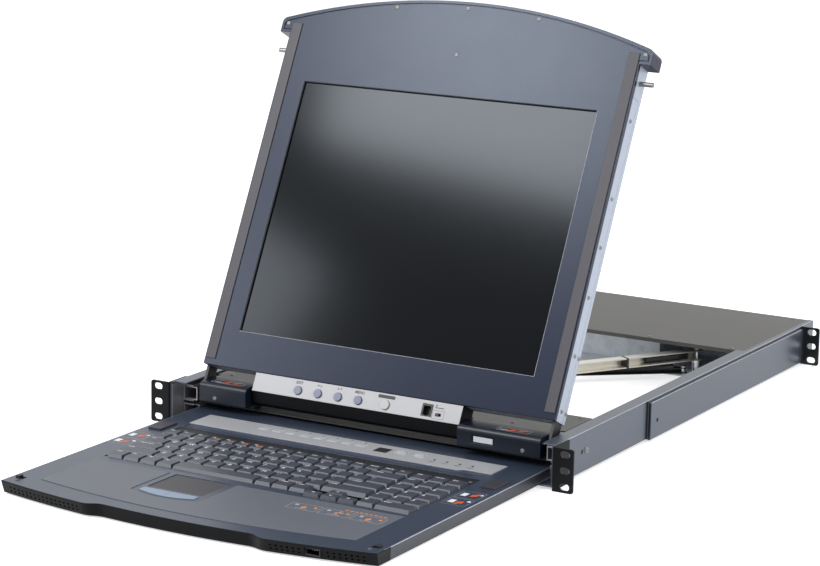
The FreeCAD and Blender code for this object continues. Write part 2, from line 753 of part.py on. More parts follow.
# Cable arms: a rear link shaped as a C, and a front link that folds into its open side;
# the lower rear link carries half of a ribbed cable conduit on its top
def link_bar(name, length, half, low, high):
    """A flat bar with round ends, from one pivot to the next."""
    return join(name, block(name + "_bar", ("0", length), (f"-{half}", half), (low, high)),
                rod(name + "_near", half, "z", low, f"{high} - ({low})", ("0", "0")),
                rod(name + "_far", half, "z", low, f"{high} - ({low})", (length, "0")))


def link_bore(name, x, low, high):
    """A running bore for a pivot pin."""
    return rod(name, "pivot_radius + pin_clearance", "z", f"{low} - 1", f"{high} - ({low}) + 2",
               (x, "0"))


def turn_link(item, x, y, angle):
    """Stands a link on its pivot, turned about the vertical."""
    item.Placement.Rotation = FreeCAD.Rotation(vec(0, 0, 1), 10)
    place(item, x, y)
    bind(item, "Placement.Rotation.Angle", angle)
    return item


def rear_link(name, length, width, low, height, leaf):
    """Top and bottom leaves joined by a wall on one side, with the middle pin fixed in them."""
    high = f"{low} + {height}"
    half = f"{width} / 2"
    form = link_bar(name + "_form", length, half, low, high)
    inside = block(name + "_inside", ("-20", f"{length} + 20"), (f"1.2 - {half}", f"{half} + 1"),
                   (f"{low} + {leaf}", f"{high} - {leaf}"))
    wall_end = block(name + "_wall_end", (length, f"{length} + 20"), (f"-{half} - 1", half),
                     (f"{low} + {leaf}", f"{high} - {leaf}"))
    shell = carve(name + "_shell", form, inside, wall_end, link_bore(name + "_bore", "0", low, high))
    pin = rod(name + "_pin", "pivot_radius", "z", low, f"{height} + 0.8", (length, "0"))
    return join(name + "_link", shell, pin)


def front_link(name, length, half, low, high):
    """A bar that turns on the middle pin."""
    form = link_bar(name + "_form", length, half, low, high)
    hollow = block(name + "_hollow", ("10", f"{length} - 10"), (f"1.2 - {half}", f"{half} - 1.2"),
                   (f"{low} + 1.2", f"{high} + 1"))
    return carve(name + "_link", form, hollow, link_bore(name + "_near_bore", "0", low, high),
                 link_bore(name + "_far_bore", length, low, high))


arm_angle, low_angle = "(arm_spread * 1 deg)", "(low_arm_spread * 1 deg)"
arm_length = f"((arm_pivot_y - arm_hook_y) / 2 / cos({arm_angle}))"
low_arm_length = f"((low_arm_pivot_y - low_arm_hook_y) / 2 / cos({low_angle}))"
upper_rear = rear_link("upper_rear", arm_length, "arm_width", "arm_level", "arm_height", "1.2")
finish("lcd_arm_rear_link", turn_link(upper_rear, "arm_pivot_x", "arm_pivot_y",
                                      f"270 deg - {arm_angle}"))
upper_front = front_link("upper_front", arm_length, "(arm_width / 2 - 1.5)",
                         "(arm_level + 1.5)", "(arm_level + arm_height - 1.5)")
finish("lcd_arm_front_link", turn_link(
    upper_front, f"arm_pivot_x - {arm_length} * sin({arm_angle})",
    f"arm_pivot_y - {arm_length} * cos({arm_angle})", f"270 deg + {arm_angle}"))
lower_rear = rear_link("lower_rear", low_arm_length, "low_arm_width", "low_arm_level",
                       "low_arm_height", "0.8")
leaf_top = "low_arm_level + low_arm_height"
conduit = [rod("conduit_core", "cord_radius - cord_rib", "x", "cord_start",
               "cord_end - cord_start", ("0", leaf_top))]
for i in range(1 + int((s.cord_end - s.cord_start - s.cord_rib_width) / s.cord_rib_pitch)):
    conduit.append(rod(f"conduit_rib_{i}", "cord_radius", "x",
                       f"cord_start + {i} * cord_rib_pitch", "cord_rib_width", ("0", leaf_top)))
below_leaf = block("below_leaf", ("0", "cord_end + 10"), ("-low_arm_width", "low_arm_width"),
                   ("low_arm_level - 10", f"{leaf_top} - 0.4"))
conduit_half = carve("conduit_half", join("conduit_form", *conduit), below_leaf)
lower_rear = join("lower_rear_with_conduit", lower_rear, conduit_half)
finish("keyboard_arm_rear_link", turn_link(lower_rear, "low_arm_pivot_x", "low_arm_pivot_y",
                                           f"270 deg - {low_angle}"))
lower_front = front_link("lower_front", low_arm_length, "(low_arm_width / 2 - 1.5)",
                         "(low_arm_level + 1.1)", "(low_arm_level + low_arm_height - 1.1)")
finish("keyboard_arm_front_link", turn_link(
    lower_front, f"low_arm_pivot_x - {low_arm_length} * sin({low_angle})",
    f"low_arm_pivot_y - {low_arm_length} * cos({low_angle})", f"270 deg + {low_angle}"))

# Keyboard drawer: one bowed outline drives the deck, the handle and the palm rest
half_drawer = s.drawer_half
deck_low = s.drawer_top - s.drawer_gauge
LAYOUT = s.layout_shift


def bow(x, corner, depth, half):
    """The y of a bowed front edge at one x."""
    return -corner - depth * (1 - (x / half) ** 2)


def path(start, *steps):
    """Edges from a start point: a point is a line, two points an arc, four a curve."""
    edges, here = [], start
    for step in steps:
        if isinstance(step, FreeCAD.Vector):
            edges.append(Part.makeLine(here, step))
            here = step
        elif len(step) == 2:
            edges.append(Part.Arc(here, *step).toShape())
            here = step[-1]
        else:
            curve = Part.BezierCurve()
            curve.setPoles([here, *step])
            edges.append(curve.toShape())
            here = step[-1]
    return Part.Wire(edges)


def front_outline(side, rear, inset, slant, grip_slant, z):
    """The drawer's outline at one level: straight sides, bowed wings and a set-back grip."""
    def wing(x):
        return bow(x, s.drawer_corner_at, s.front_bow, half_drawer) + inset + slant

    def grip(x):
        return wing(x) - slant + s.grip_depth + grip_slant
    inner, outer = s.grip_half, s.grip_half + s.grip_blend
    middle = (inner + outer) / 2
    far = (outer + side) / 2
    return path(
        vec(-side, rear, z), vec(-side, wing(side), z),
        (vec(-far, wing(far), z), vec(-outer, wing(outer), z)),
        (vec(-middle, wing(outer), z), vec(-middle, grip(inner), z), vec(-inner, grip(inner), z)),
        (vec(0, grip(0), z), vec(inner, grip(inner), z)),
        (vec(middle, grip(inner), z), vec(middle, wing(outer), z), vec(outer, wing(outer), z)),
        (vec(far, wing(far), z), vec(side, wing(side), z)),
        vec(side, rear, z), vec(-side, rear, z))


def slab(wire, thickness):
    """A plate raised from a flat outline."""
    return Part.Face(wire).extrude(vec(0, 0, thickness))


def box(x0, x1, y0, y1, z0, z1):
    """A plain block between limits."""
    return Part.makeBox(x1 - x0, y1 - y0, z1 - z0, vec(x0, y0, z0))


# Layout of the keyboard, in key units from left to right
KEYS_LEFT = LAYOUT - s.overlay_half + s.recess_gap
KEY_PITCH = (2 * (s.overlay_half - s.recess_gap) - s.side_gap) / (s.block_units + 3)
SIDE_LEFT = KEYS_LEFT + KEY_PITCH * s.block_units + s.side_gap
SIDE_RIGHT = SIDE_LEFT + 3 * KEY_PITCH
ROWS = {
    "number": [0.75] + [1] * 12 + [1.95],
    "upper": [1.35] + [1] * 12 + [1.35],
    "home": [1.63] + [1] * 11 + [2.07],
    "lower": [2.1] + [1] * 10 + [2.6],
    "bottom": [1] * 4 + [4.85] + [1] * 3,
}
BOTTOM_END = KEYS_LEFT + KEY_PITCH * sum(ROWS["bottom"])


def row_cells(units, left, front, pitch=None, depth=None):
    """Cells of one row of keys as (left, right, front, rear)."""
    cells, pitch, depth = [], pitch or KEY_PITCH, depth or s.key_depth
    for unit in units:
        cells.append((left, left + unit * pitch, front, front + depth))
        left += unit * pitch
    return cells


def row_front(number):
    """The front edge of a main row, counted from the bottom."""
    return -s.keys_front + number * s.key_depth


function_row = row_cells([1] * 17, KEYS_LEFT, row_front(5), KEY_PITCH * s.block_units / 17,
                         s.function_depth)
number_row = row_cells(ROWS["number"], KEYS_LEFT, row_front(4))
letter_rows = (row_cells(ROWS["upper"], KEYS_LEFT, row_front(3))
               + row_cells(ROWS["home"], KEYS_LEFT, row_front(2))
               + row_cells(ROWS["lower"], KEYS_LEFT, row_front(1)))
bottom_row = row_cells(ROWS["bottom"], KEYS_LEFT, row_front(0))
side_front = -s.keys_front - s.side_drop
side_rows = row_cells([1, 2], SIDE_LEFT, side_front)
for number in range(1, 6):
    side_rows += row_cells([1] * 3, SIDE_LEFT, side_front + number * s.key_depth)
arrow_pitch = (SIDE_LEFT - BOTTOM_END - 0.3) / 3
arrow_front = -s.keys_front - 6.2
arrows = row_cells([1] * 3, BOTTOM_END, arrow_front, arrow_pitch, s.arrow_depth)
arrows += row_cells([1], BOTTOM_END + arrow_pitch, arrow_front + s.arrow_depth, arrow_pitch,
                    s.arrow_depth)
KEY_GROUPS = {
    "keys_upper_rows": function_row + number_row,
    "keys_letter_rows": letter_rows,
    "keys_bottom_row": bottom_row[:4] + bottom_row[5:],
    "space_bar": bottom_row[4:5],
    "keys_side_block": side_rows + arrows,
}
skirt_low = s.drawer_top - s.key_skirt
key_high = s.drawer_top + s.key_rise
plate_high = skirt_low - s.key_travel - 0.4
plate_low = plate_high - s.plate_gauge


def cell_centre(cell):
    """The middle of a cell."""
    return (cell[0] + cell[1]) / 2, (cell[2] + cell[3]) / 2


def keycap(cell):
    """A cap with sloping sides, a flat top and a square stem underneath."""
    left, right, front, rear = cell
    gap, inset = s.key_gap / 2, s.key_top_inset
    slope = min(s.key_front_slope, (rear - front) * 0.16)
    low = [vec(left + gap, front + gap, skirt_low), vec(right - gap, front + gap, skirt_low),
           vec(right - gap, rear - gap, skirt_low), vec(left + gap, rear - gap, skirt_low)]
    high = [vec(left + gap + inset, front + gap + slope, key_high),
            vec(right - gap - inset, front + gap + slope, key_high),
            vec(right - gap - inset, rear - gap - inset * 0.7, key_high),
            vec(left + gap + inset, rear - gap - inset * 0.7, key_high)]
    wires = [Part.makePolygon(ring + ring[:1]) for ring in (low, high)]
    cap = Part.makeLoft(wires, True, True)
    x, y = cell_centre(cell)
    half = s.key_stem / 2
    stem = box(x - half, x + half, y - half, y + half, plate_low + 0.2, skirt_low)
    return cap.fuse(stem).removeSplitter()


for name, cells in KEY_GROUPS.items():
    caps = [keycap(cell) for cell in cells]
    finish(name, shaped(name + "_set", Part.makeCompound(caps) if len(caps) > 1 else caps[0]))

# Keyboard frame: a shallow tray with a hole for every stem and a raised bar behind
recess = {
    "left": KEYS_LEFT - s.recess_gap, "right": SIDE_RIGHT + s.recess_gap,
    "step": BOTTOM_END - 0.3, "front": -s.keys_front - s.recess_gap,
    "deep_front": arrow_front - s.recess_gap * 0.7, "rear": -s.recess_rear,
}


def recess_tool(low, high, grow=0.0):
    """The opening that the keys stand in, with its front edge stepped at the arrow keys."""
    wide = box(recess["left"] - grow, recess["right"] + grow, recess["front"] - grow,
               recess["rear"] + grow, low, high)
    deep = box(recess["step"] - grow, recess["right"] + grow, recess["deep_front"] - grow,
               recess["front"] + 5, low, high)
    return wide.fuse(deep).removeSplitter()


all_cells = [cell for cells in KEY_GROUPS.values() for cell in cells]
bar_front = row_front(5) + s.function_depth + 0.6
FRAME_SPOTS = [vec(x, (bar_front + recess["rear"]) / 2 - 2, s.drawer_top - 0.6)
               for x in (KEYS_LEFT + 12, LAYOUT + 7.5, SIDE_RIGHT - 4)]
frame_plate = recess_tool(plate_low, deck_low, 3.5).cut(recess_tool(plate_high, deck_low + 1))
bar_rear = recess["rear"] - 0.4
frame_bar = box(recess["left"] + 0.3, recess["right"] - 0.3, bar_front, bar_rear, plate_high,
                s.drawer_top - 0.6)
half_hole = s.key_stem / 2 + s.stem_gap
stem_holes = []
for cell in all_cells:
    x, y = cell_centre(cell)
    stem_holes.append(box(x - half_hole, x + half_hole, y - half_hole, y + half_hole,
                          plate_low - 1, plate_high + 1))
frame_form = shaped("keyboard_frame_form",
                    frame_plate.fuse(frame_bar).cut(Part.makeCompound(stem_holes)))
finish("keyboard_frame", carve("keyboard_frame_cut", frame_form,
                               taps("frame_taps", FRAME_SPOTS, UP)))

# Tray of the drawer: floor, sides and back
tray_side = "drawer_half"
tray_floor = block("tray_floor", (f"-{tray_side}", tray_side), ("-drawer_front", "drawer_rear"),
                   ("drawer_bottom", "drawer_bottom + drawer_gauge"))
tray_wall = block("tray_wall", (f"{tray_side} - drawer_gauge", tray_side),
                  ("-drawer_front", "drawer_rear"), ("drawer_bottom", "drawer_top - drawer_gauge"))
tray_back = block("tray_back", (f"-{tray_side}", tray_side),
                  ("drawer_rear", "drawer_rear + drawer_gauge"),
                  ("drawer_bottom", "drawer_top - drawer_gauge"))
tray_lug = block("tray_lug", ("low_arm_pivot_x - 8", "low_arm_pivot_x + 8"),
                 ("drawer_rear", "low_arm_hook_y + 8"),
                 ("low_arm_level - 1.8", "low_arm_level - 0.6"))
finish("drawer_tray", join("drawer_tray_form", tray_floor, tray_wall,
                           mirrored("tray_wall_turned", tray_wall), tray_back, tray_lug))

# Deck plate with every opening in it
deck_rear = s.drawer_rear + s.drawer_gauge
deck_plate = slab(front_outline(half_drawer, deck_rear, 0, 0, 0, deck_low), s.drawer_gauge)
high = s.drawer_top + 5
PAD_RIGHT = s.pad_left + s.pad_width
PAD_MIDDLE = (s.pad_left + PAD_RIGHT) / 2


def button_field(grow, z):
    """The outline shared by the two touchpad buttons: straight behind, bowed in front."""
    rear, front = -s.button_rear + grow, -s.button_rear - s.button_depth - grow
    left, right = s.pad_left - grow, PAD_RIGHT + grow
    return path(vec(left, rear, z), vec(left, front, z),
                (vec(PAD_MIDDLE, front - s.button_bow, z), vec(right, front, z)),
                vec(right, rear, z), vec(left, rear, z))


pad_hole = box(s.pad_left - 0.3, PAD_RIGHT + 0.3, -s.pad_rear - s.pad_depth - 0.3,
               -s.pad_rear + 0.3, deck_low - 1, high)
ledge = box(recess["left"] + 1, recess["right"] - 1, -s.ledge_front, -s.strip_front - 1,
            s.drawer_top - s.ledge_depth, high)
catch_slots = []
for side in (-1, 1):
    reach = sorted((side * (s.catch_centre - s.catch_travel - s.catch_width / 2 - 0.4),
                    side * (s.catch_centre + s.catch_width / 2 + 0.4)))
    catch_slots.append(box(*reach, -s.catch_at - s.catch_length / 2 - 0.4,
                           -s.catch_at + s.catch_length / 2 + 0.4, deck_low - 1, high))
spread = s.overlay_half / s.drawn_half
BUTTON_SPOTS = [(s.port_button_first + i * s.port_button_pitch) * spread for i in range(8)]
MODE_SPOTS = [(s.mode_button_first + i * s.mode_button_pitch) * spread for i in range(2)]
LAMP_SPOTS = [(s.lamp_first + i * s.lamp_pitch) * spread for i in range(4)]
display_left = s.display_left * spread
display_limits = (display_left, display_left + s.display_size,
                  -s.display_rear - s.display_depth, -s.display_rear)


def pill(x, y, length, width, low, top):
    """An upright plug with round ends."""
    reach = (length - width) / 2
    plug = box(x - reach, x + reach, y - width / 2, y + width / 2, low, top)
    for end in (x - reach, x + reach):
        plug = plug.fuse(Part.makeCylinder(width / 2, top - low, vec(end, y, low)))
    return plug.removeSplitter()


def control_holes(low, top):
    """Openings for the buttons, the display and the lamps."""
    tools = [box(x - s.port_button_width / 2 - 0.25, x + s.port_button_width / 2 + 0.25,
                 s.buttons_at - s.port_button_depth / 2 - 0.25,
                 s.buttons_at + s.port_button_depth / 2 + 0.25, low, top) for x in BUTTON_SPOTS]
    tools += [pill(x, s.buttons_at, s.mode_button_length + 0.5, s.mode_button_width + 0.5, low, top)
              for x in MODE_SPOTS]
    tools += [Part.makeCylinder(s.lamp_bore, top - low, vec(x, -s.lamps_at, low))
              for x in LAMP_SPOTS]
    tools.append(box(*display_limits, low, top))
    return tools


DECK_SPOTS = [vec(side * (half_drawer - 11.5), 7.8 - s.drawer_corner_at, s.drawer_top)
              for side in (-1, 1)]
deck_cuts = [recess_tool(deck_low - 1, high), pad_hole, ledge,
             slab(button_field(0.35, deck_low - 1), high - deck_low), *catch_slots,
             *control_holes(deck_low - 1, high)]
deck_form = shaped("drawer_deck_form", deck_plate.cut(Part.makeCompound(deck_cuts)))
finish("drawer_deck", carve("drawer_deck_cut", deck_form, taps("deck_taps", DECK_SPOTS, UP)))

# Front handle: slanted outside, hollow under the deck, with a socket in its right wing
cap_side = half_drawer + s.cap_proud
CAP_REAR = -s.drawer_front
cap_high = front_outline(cap_side, CAP_REAR, -s.cap_proud, 0, 0, s.drawer_top - 0.5)
cap_low = front_outline(cap_side - 0.6, CAP_REAR, -s.cap_proud, s.cap_slant, s.grip_slant,
                        s.drawer_bottom)
cap_top = front_outline(cap_side - 0.4, CAP_REAR, -s.cap_proud + 0.5, 0, 0, s.drawer_top)
cap = Part.makeLoft([cap_low, cap_high], True, True).fuse(
    Part.makeLoft([cap_high, cap_top], True, True))
cap = cap.cut(slab(front_outline(half_drawer, CAP_REAR - 1, 0, 0, 0, deck_low).copy(), 10).fuse(
    box(-half_drawer, half_drawer, CAP_REAR - 2, CAP_REAR + 2, deck_low, high)))
cap = cap.cut(slab(front_outline(half_drawer - 3, CAP_REAR + 5, 3, s.cap_slant, s.grip_slant,
                                 s.drawer_bottom + 1.5), 20))
usb_y = bow(s.usb_centre, s.drawer_corner_at, s.front_bow, half_drawer)
usb_level = (s.drawer_bottom + deck_low) / 2 + 0.4
usb_limits = (s.usb_centre - s.usb_width / 2, s.usb_centre + s.usb_width / 2)
usb_heights = (usb_level - s.usb_height / 2, usb_level + s.usb_height / 2)
usb_opening = box(*usb_limits, usb_y - 6, usb_y + 16, *usb_heights)


def vent(x, y, z):
    """A six-sided cutter for one air hole in the front of the handle."""
    corners = [vec(x + s.vent_radius * math.cos(i * math.pi / 3), y,
                   z + s.vent_radius * math.sin(i * math.pi / 3)) for i in range(6)]
    return Part.Face(Part.makePolygon(corners + corners[:1])).extrude(vec(0, 10, 0))


vents = []
vent_count = int((cap_side - s.vent_first - 4) / s.vent_pitch)
for side in (-1, 1):
    for i in range(vent_count):
        x = side * (s.vent_first + i * s.vent_pitch)
        if abs(x - s.usb_centre) < s.usb_width / 2 + 3:
            continue
        y = bow(x, s.drawer_corner_at, s.front_bow, half_drawer)
        for row in range(2):
            vents.append(vent(x, y - 2, -s.vent_level - row * s.vent_drop))
finish("drawer_handle", shaped("drawer_handle_form",
                               cap.cut(Part.makeCompound([usb_opening, *vents]))))
usb_form = box(usb_limits[0], usb_limits[1], usb_y + 1.2, usb_y + 16, *usb_heights)
usb_mouth = box(usb_limits[0] + 1, usb_limits[1] - 1, usb_y, usb_y + 13, usb_heights[0] + 1,
                usb_heights[1] - 1)
usb_tongue = box(usb_limits[0] + 2, usb_limits[1] - 2, usb_y + 7, usb_y + 13,
                 usb_level + 0.2, usb_level + 1.8)
finish("usb_port", shaped("usb_socket", usb_form.cut(usb_mouth).fuse(usb_tongue)))

# Palm rest sheet, cut away round the touchpad
rest_left, rest_right = LAYOUT - s.overlay_half, LAYOUT + s.overlay_half
top = s.drawer_top
notch = (s.pad_left - s.pad_margin, PAD_RIGHT + s.pad_margin)
finish("palm_rest", shaped("palm_rest_sheet", slab(path(
    vec(rest_left, -s.rest_rear, top), vec(rest_left, -s.rest_corner_at, top),
    (vec(LAYOUT, -s.rest_corner_at - s.rest_bow, top), vec(rest_right, -s.rest_corner_at, top)),
    vec(rest_right, -s.rest_rear, top), vec(notch[1], -s.rest_rear, top),
    vec(notch[1], -s.rest_rear - s.rest_bay_depth, top),
    (vec(PAD_MIDDLE, -s.rest_rear - s.rest_bay_depth - s.rest_bay_bow, top),
     vec(notch[0], -s.rest_rear - s.rest_bay_depth, top)),
    vec(notch[0], -s.rest_rear, top), vec(rest_left, -s.rest_rear, top)), s.rest_gauge)))

# Touchpad and its two buttons
pad_low = block("touchpad_body", ("pad_left - 2", "pad_left + pad_width + 2"),
                ("-pad_rear - pad_depth - 2", "2 - pad_rear"),
                ("drawer_top - drawer_gauge - 1.4", "drawer_top - drawer_gauge"))
pad_high = block("touchpad_face", ("pad_left", "pad_left + pad_width"),
                 ("-pad_rear - pad_depth", "-pad_rear"),
                 ("drawer_top - drawer_gauge - 1", "drawer_top - 0.5"))
finish("touchpad", join("touchpad_form", pad_low, pad_high))
button_block = slab(button_field(0, top - 3.2), 3.2 + s.button_rise)
for side, limits in (("left", (s.pad_left - 5, PAD_MIDDLE - 0.15)),
                     ("right", (PAD_MIDDLE + 0.15, PAD_RIGHT + 5))):
    half_field = box(*limits, -s.button_rear - s.button_depth - s.button_bow - 1,
                     1 - s.button_rear, s.drawer_bottom, high)
    finish(f"touchpad_button_{side}", shaped(f"pad_button_{side}_form",
                                             button_block.common(half_field)))

# Status strip with its buttons, display and lamps
strip_high = top + s.strip_gauge
strip_plate = slab(path(
    vec(rest_left, -s.strip_front, top), vec(rest_right - s.strip_step, -s.strip_front, top),
    vec(rest_right - s.strip_step + s.strip_chamfer, -s.strip_front + s.strip_chamfer, top),
    vec(rest_right, -s.strip_front + s.strip_chamfer, top), vec(rest_right, s.strip_rear, top),
    vec(rest_left, s.strip_rear, top), vec(rest_left, -s.strip_front, top)), s.strip_gauge)
finish("status_strip", shaped("status_strip_form",
                              strip_plate.cut(Part.makeCompound(control_holes(top - 1, high)))))
buttons = [box(x - s.port_button_width / 2, x + s.port_button_width / 2,
               s.buttons_at - s.port_button_depth / 2, s.buttons_at + s.port_button_depth / 2,
               deck_low - 0.8, strip_high + s.deck_button_rise) for x in BUTTON_SPOTS]
buttons += [pill(x, s.buttons_at, s.mode_button_length, s.mode_button_width, deck_low - 0.8,
                 strip_high + s.mode_button_rise) for x in MODE_SPOTS]
finish("deck_buttons", shaped("deck_button_set", Part.makeCompound(buttons)))
lamps = [Part.makeCylinder(s.lamp_bore, strip_high + 0.4 - deck_low,
                           vec(x, -s.lamps_at, deck_low)) for x in LAMP_SPOTS]
display = box(*display_limits, deck_low, strip_high)
finish("indicators", shaped("indicator_set", Part.makeCompound([*lamps, display])))

# Rubber pads, catches, slides and screws of the drawer
rubber_pad = block("rubber_pad", ("rubber_centre - rubber_width / 2",
                                  "rubber_centre + rubber_width / 2"),
                   ("-rubber_rear - rubber_length", "-rubber_rear"),
                   ("drawer_top", "drawer_top + rubber_height"))
finish("deck_pads", bundle("rubber_pads", rubber_pad, mirrored("rubber_pad_turned", rubber_pad)))
catch_post = block("catch_post", ("catch_centre - catch_width / 2",
                                  "catch_centre + catch_width / 2"),
                   ("-catch_at - catch_length / 2", "catch_length / 2 - catch_at"),
                   ("drawer_top - drawer_gauge - 1.6", "drawer_top + catch_rise"))
catch_foot = block("catch_foot", ("catch_centre - 5.5", "catch_centre + 4.5"),
                   ("-catch_at - 5", "5 - catch_at"),
                   ("drawer_top - drawer_gauge - 1.7", "drawer_top - drawer_gauge - 0.2"))
catch = finish("release_catch_right", join("catch_form", catch_post, catch_foot))
finish("release_catch_left", mirrored("catch_turned", catch))
drawer_member = inner_member("drawer_inner_member", "drawer_half", "drawer_slide_height",
                             "drawer_slide_level", "30", "drawer_rear - 2")
finish("drawer_slides", bundle("drawer_member_pair", drawer_member,
                               mirrored("drawer_inner_turned", drawer_member)))
finish("drawer_screws", shaped("drawer_screw_set", Part.makeCompound(
    screws(FRAME_SPOTS, UP) + screws(DECK_SPOTS, UP, depth=2.4))))

# Screen carriage: base plate, side walls and cover plate
side = "carriage_half"
base_plate = block("carriage_plate", (f"-{side}", side), ("carriage_front", "carriage_rear"),
                   ("carriage_bottom", "carriage_bottom + carriage_gauge"))
side_wall = block("carriage_wall", (f"{side} - carriage_gauge", side),
                  ("carriage_wall_front", "carriage_rear"),
                  ("carriage_bottom", "carriage_top - carriage_gauge"))
finish("carriage_base", join("carriage_base_form", base_plate, side_wall,
                             mirrored("carriage_wall_turned", side_wall)))
relief = "(plate_front + 7)"
behind_arms = "(arm_inner - 0.5)"
plate_rear = "carriage_rear + plate_overhang"
cover_form = prism("carriage_cover_form", "z", [
    (f"-{side}", plate_rear), (f"-{side}", "carriage_wall_front"),
    (f"-{behind_arms}", "carriage_wall_front"), (f"-{behind_arms}", "plate_front"),
    ("1.5 - left_block_inner", "plate_front"), ("1.5 - left_block_inner", relief),
    ("right_block_inner - 1.5", relief), ("right_block_inner - 1.5", "plate_front"),
    (behind_arms, "plate_front"), (behind_arms, "carriage_wall_front"),
    (side, "carriage_wall_front"), (side, plate_rear)],
    "carriage_top - carriage_gauge", "carriage_gauge")
PLATE_SPOTS = [vec(side_of * x, y, s.carriage_top) for side_of in (-1, 1)
               for x, y in ((s.left_block_inner + 3.5, s.carriage_wall_front + 1),
                            (s.carriage_half - 13.8, s.carriage_wall_front + 5),
                            (s.carriage_half - 10.8, s.carriage_rear - 1))]
finish("carriage_cover", carve("carriage_cover_cut", cover_form,
                               taps("plate_taps", PLATE_SPOTS, UP, depth=1.2)))
carriage_member = inner_member("carriage_inner_member", side, "panel_slide_height",
                               "panel_slide_level", "slide_front", "carriage_rear")
finish("carriage_slides", bundle("carriage_member_pair", carriage_member,
                                 mirrored("carriage_inner_turned", carriage_member)))


# Hinge housings: hollow castings that stand on the base plate
def hinge_block(name, low, high):
    """A housing between two x limits, rounded where the screen unit swings past."""
    base = "carriage_bottom + carriage_gauge"
    form = prism(name, "x", [
        ("block_front", "block_bottom"), ("block_front", "block_top"),
        ("block_rear", "block_top"), ("block_rear", base), ("block_leg_front", base),
        ("block_leg_front", "block_bottom")], low, f"({high}) - ({low})",
        [(runs("x", lambda middle: middle.y < s.block_front + 1 and middle.z > 15), "block_round"),
         (runs("x", lambda middle: middle.y < s.block_front + 1 and middle.z < 5), "1.5")])
    bore = rod(name + "_bore", "pin_radius", "x", f"{low} - 1", f"({high}) - ({low}) + 2",
               ("hinge_at", "hinge_level"))
    return form, bore


left_form, left_bore = hinge_block("left_housing", "-block_outer", "-left_block_inner")
right_form, right_bore = hinge_block("right_housing", "right_block_inner", "block_outer")
window = block("receiver_window", ("window_left", "window_left + window_width"),
               ("block_front - 1", "block_front + window_recess"),
               ("window_bottom", "window_bottom + window_height"))
BLOCK_SPOTS = [vec(side_of * (s.block_outer - s.block_screw_inset), s.block_front, 6.6)
               for side_of in (-1, 1)]
finish("hinge_block_left", carve("left_housing_cut", left_form, left_bore,
                                 taps("left_tap", BLOCK_SPOTS[:1], FRONT)))
finish("hinge_block_right", carve("right_housing_cut", right_form, right_bore, window,
                                  taps("right_tap", BLOCK_SPOTS[1:], FRONT)))
pivot = ("hinge_at", "hinge_level")
hinge_pin = rod("hinge_pin", "pin_radius", "x", "right_block_inner",
                "carriage_half - right_block_inner", pivot)
hinge_washer = rod("hinge_washer", "pin_radius + 2.6", "x", "block_outer",
                   "arm_inner - block_outer - 0.2", pivot)
left_pin = rod("left_hinge_pin", "pin_radius", "x", "-carriage_half",
               "carriage_half - left_block_inner", pivot)
left_washer = rod("left_hinge_washer", "pin_radius + 2.6", "x", "0.2 - arm_inner",
                  "arm_inner - block_outer - 0.2", pivot)
finish("hinge_pins", bundle("hinge_pin_pair", join("right_pin_form", hinge_pin, hinge_washer),
                            join("left_pin_form", left_pin, left_washer)))
finish("carriage_screws", shaped("carriage_screw_set", Part.makeCompound(
    screws(PLATE_SPOTS, UP, depth=1.2) + screws(BLOCK_SPOTS, FRONT))))


# Screen unit, drawn flat with its hinge axis along x, its height along y and its face up,
# then stood on the hinge and leant back
def tilt(item):
    """Stands a flat piece of the screen unit on the hinge."""
    item.Placement.Rotation = FreeCAD.Rotation(vec(1, 0, 0), 60)
    place(item, "0", "hinge_at", "hinge_level")
    bind(item, "Placement.Rotation.Angle", "90 deg - lcd_lean * 1 deg")
    return item


half_panel = s.panel_half
panel_foot = s.screen_rise - s.panel_chin
handle_root = s.screen_rise + s.handle_root
handle_side = handle_root + s.handle_side
handle_top = handle_side + s.handle_bow
half_handle = s.handle_half
face = s.face_offset
panel_back = face - s.panel_thickness
CORNER = s.handle_corner


def handle_outline(inset, z):
    """The carrying handle's outline above the screen unit, down to where it joins it."""
    side_x, low = half_handle - inset, handle_root + inset
    high, crown = handle_side - inset, handle_top - inset
    return path(vec(-side_x, low, z), vec(-side_x, high - CORNER, z),
                (vec(-side_x + CORNER * 0.3, high - CORNER * 0.27, z),
                 vec(-side_x + CORNER, high + CORNER * 0.15, z)),
                (vec(0, crown, z), vec(side_x - CORNER, high + CORNER * 0.15, z)),
                (vec(side_x - CORNER * 0.3, high - CORNER * 0.27, z),
                 vec(side_x, high - CORNER, z)),
                vec(side_x, low, z), vec(-side_x, low, z))


def below_crown(share, drop):
    """A point on the handle's face, a drop below its crown line at a share of its width."""
    return vec(share * half_handle, handle_side + s.handle_bow * (1 - share ** 2) - drop, face)


BEZEL_SPOTS = [below_crown(share, 7.2) for share in (-0.383, 0, 0.383)]
BEZEL_SPOTS += [vec(side_of * (half_handle - 7.75), handle_root + 9.9, face)
                for side_of in (-1, 1)]
BEZEL_SPOTS.append(vec(0, handle_root - 7.9, face))
front_plate = box(-half_panel, half_panel, panel_foot, handle_root + 1, face - s.bezel_gauge, face)
handle_bar = slab(handle_outline(0, panel_back), s.panel_thickness)
handle_core = slab(handle_outline(s.handle_wall, panel_back + s.handle_wall),
                   s.panel_thickness - s.handle_wall - s.bezel_gauge)
opening = box(-s.screen_half, s.screen_half, s.screen_rise,
              s.screen_rise + s.screen_height, face - 10, face + 1)
ring = slab(handle_outline(s.handle_groove, face - s.groove_depth), 3).cut(
    slab(handle_outline(s.handle_groove + 1, face - s.groove_depth - 1), 5))
ring = ring.cut(box(-half_panel + 4, half_panel - 4, 0, handle_root + 8, 0, 30))
bezel_form = shaped("lcd_bezel_form", front_plate.fuse(handle_bar).cut(handle_core)
                    .cut(opening).cut(ring).removeSplitter())
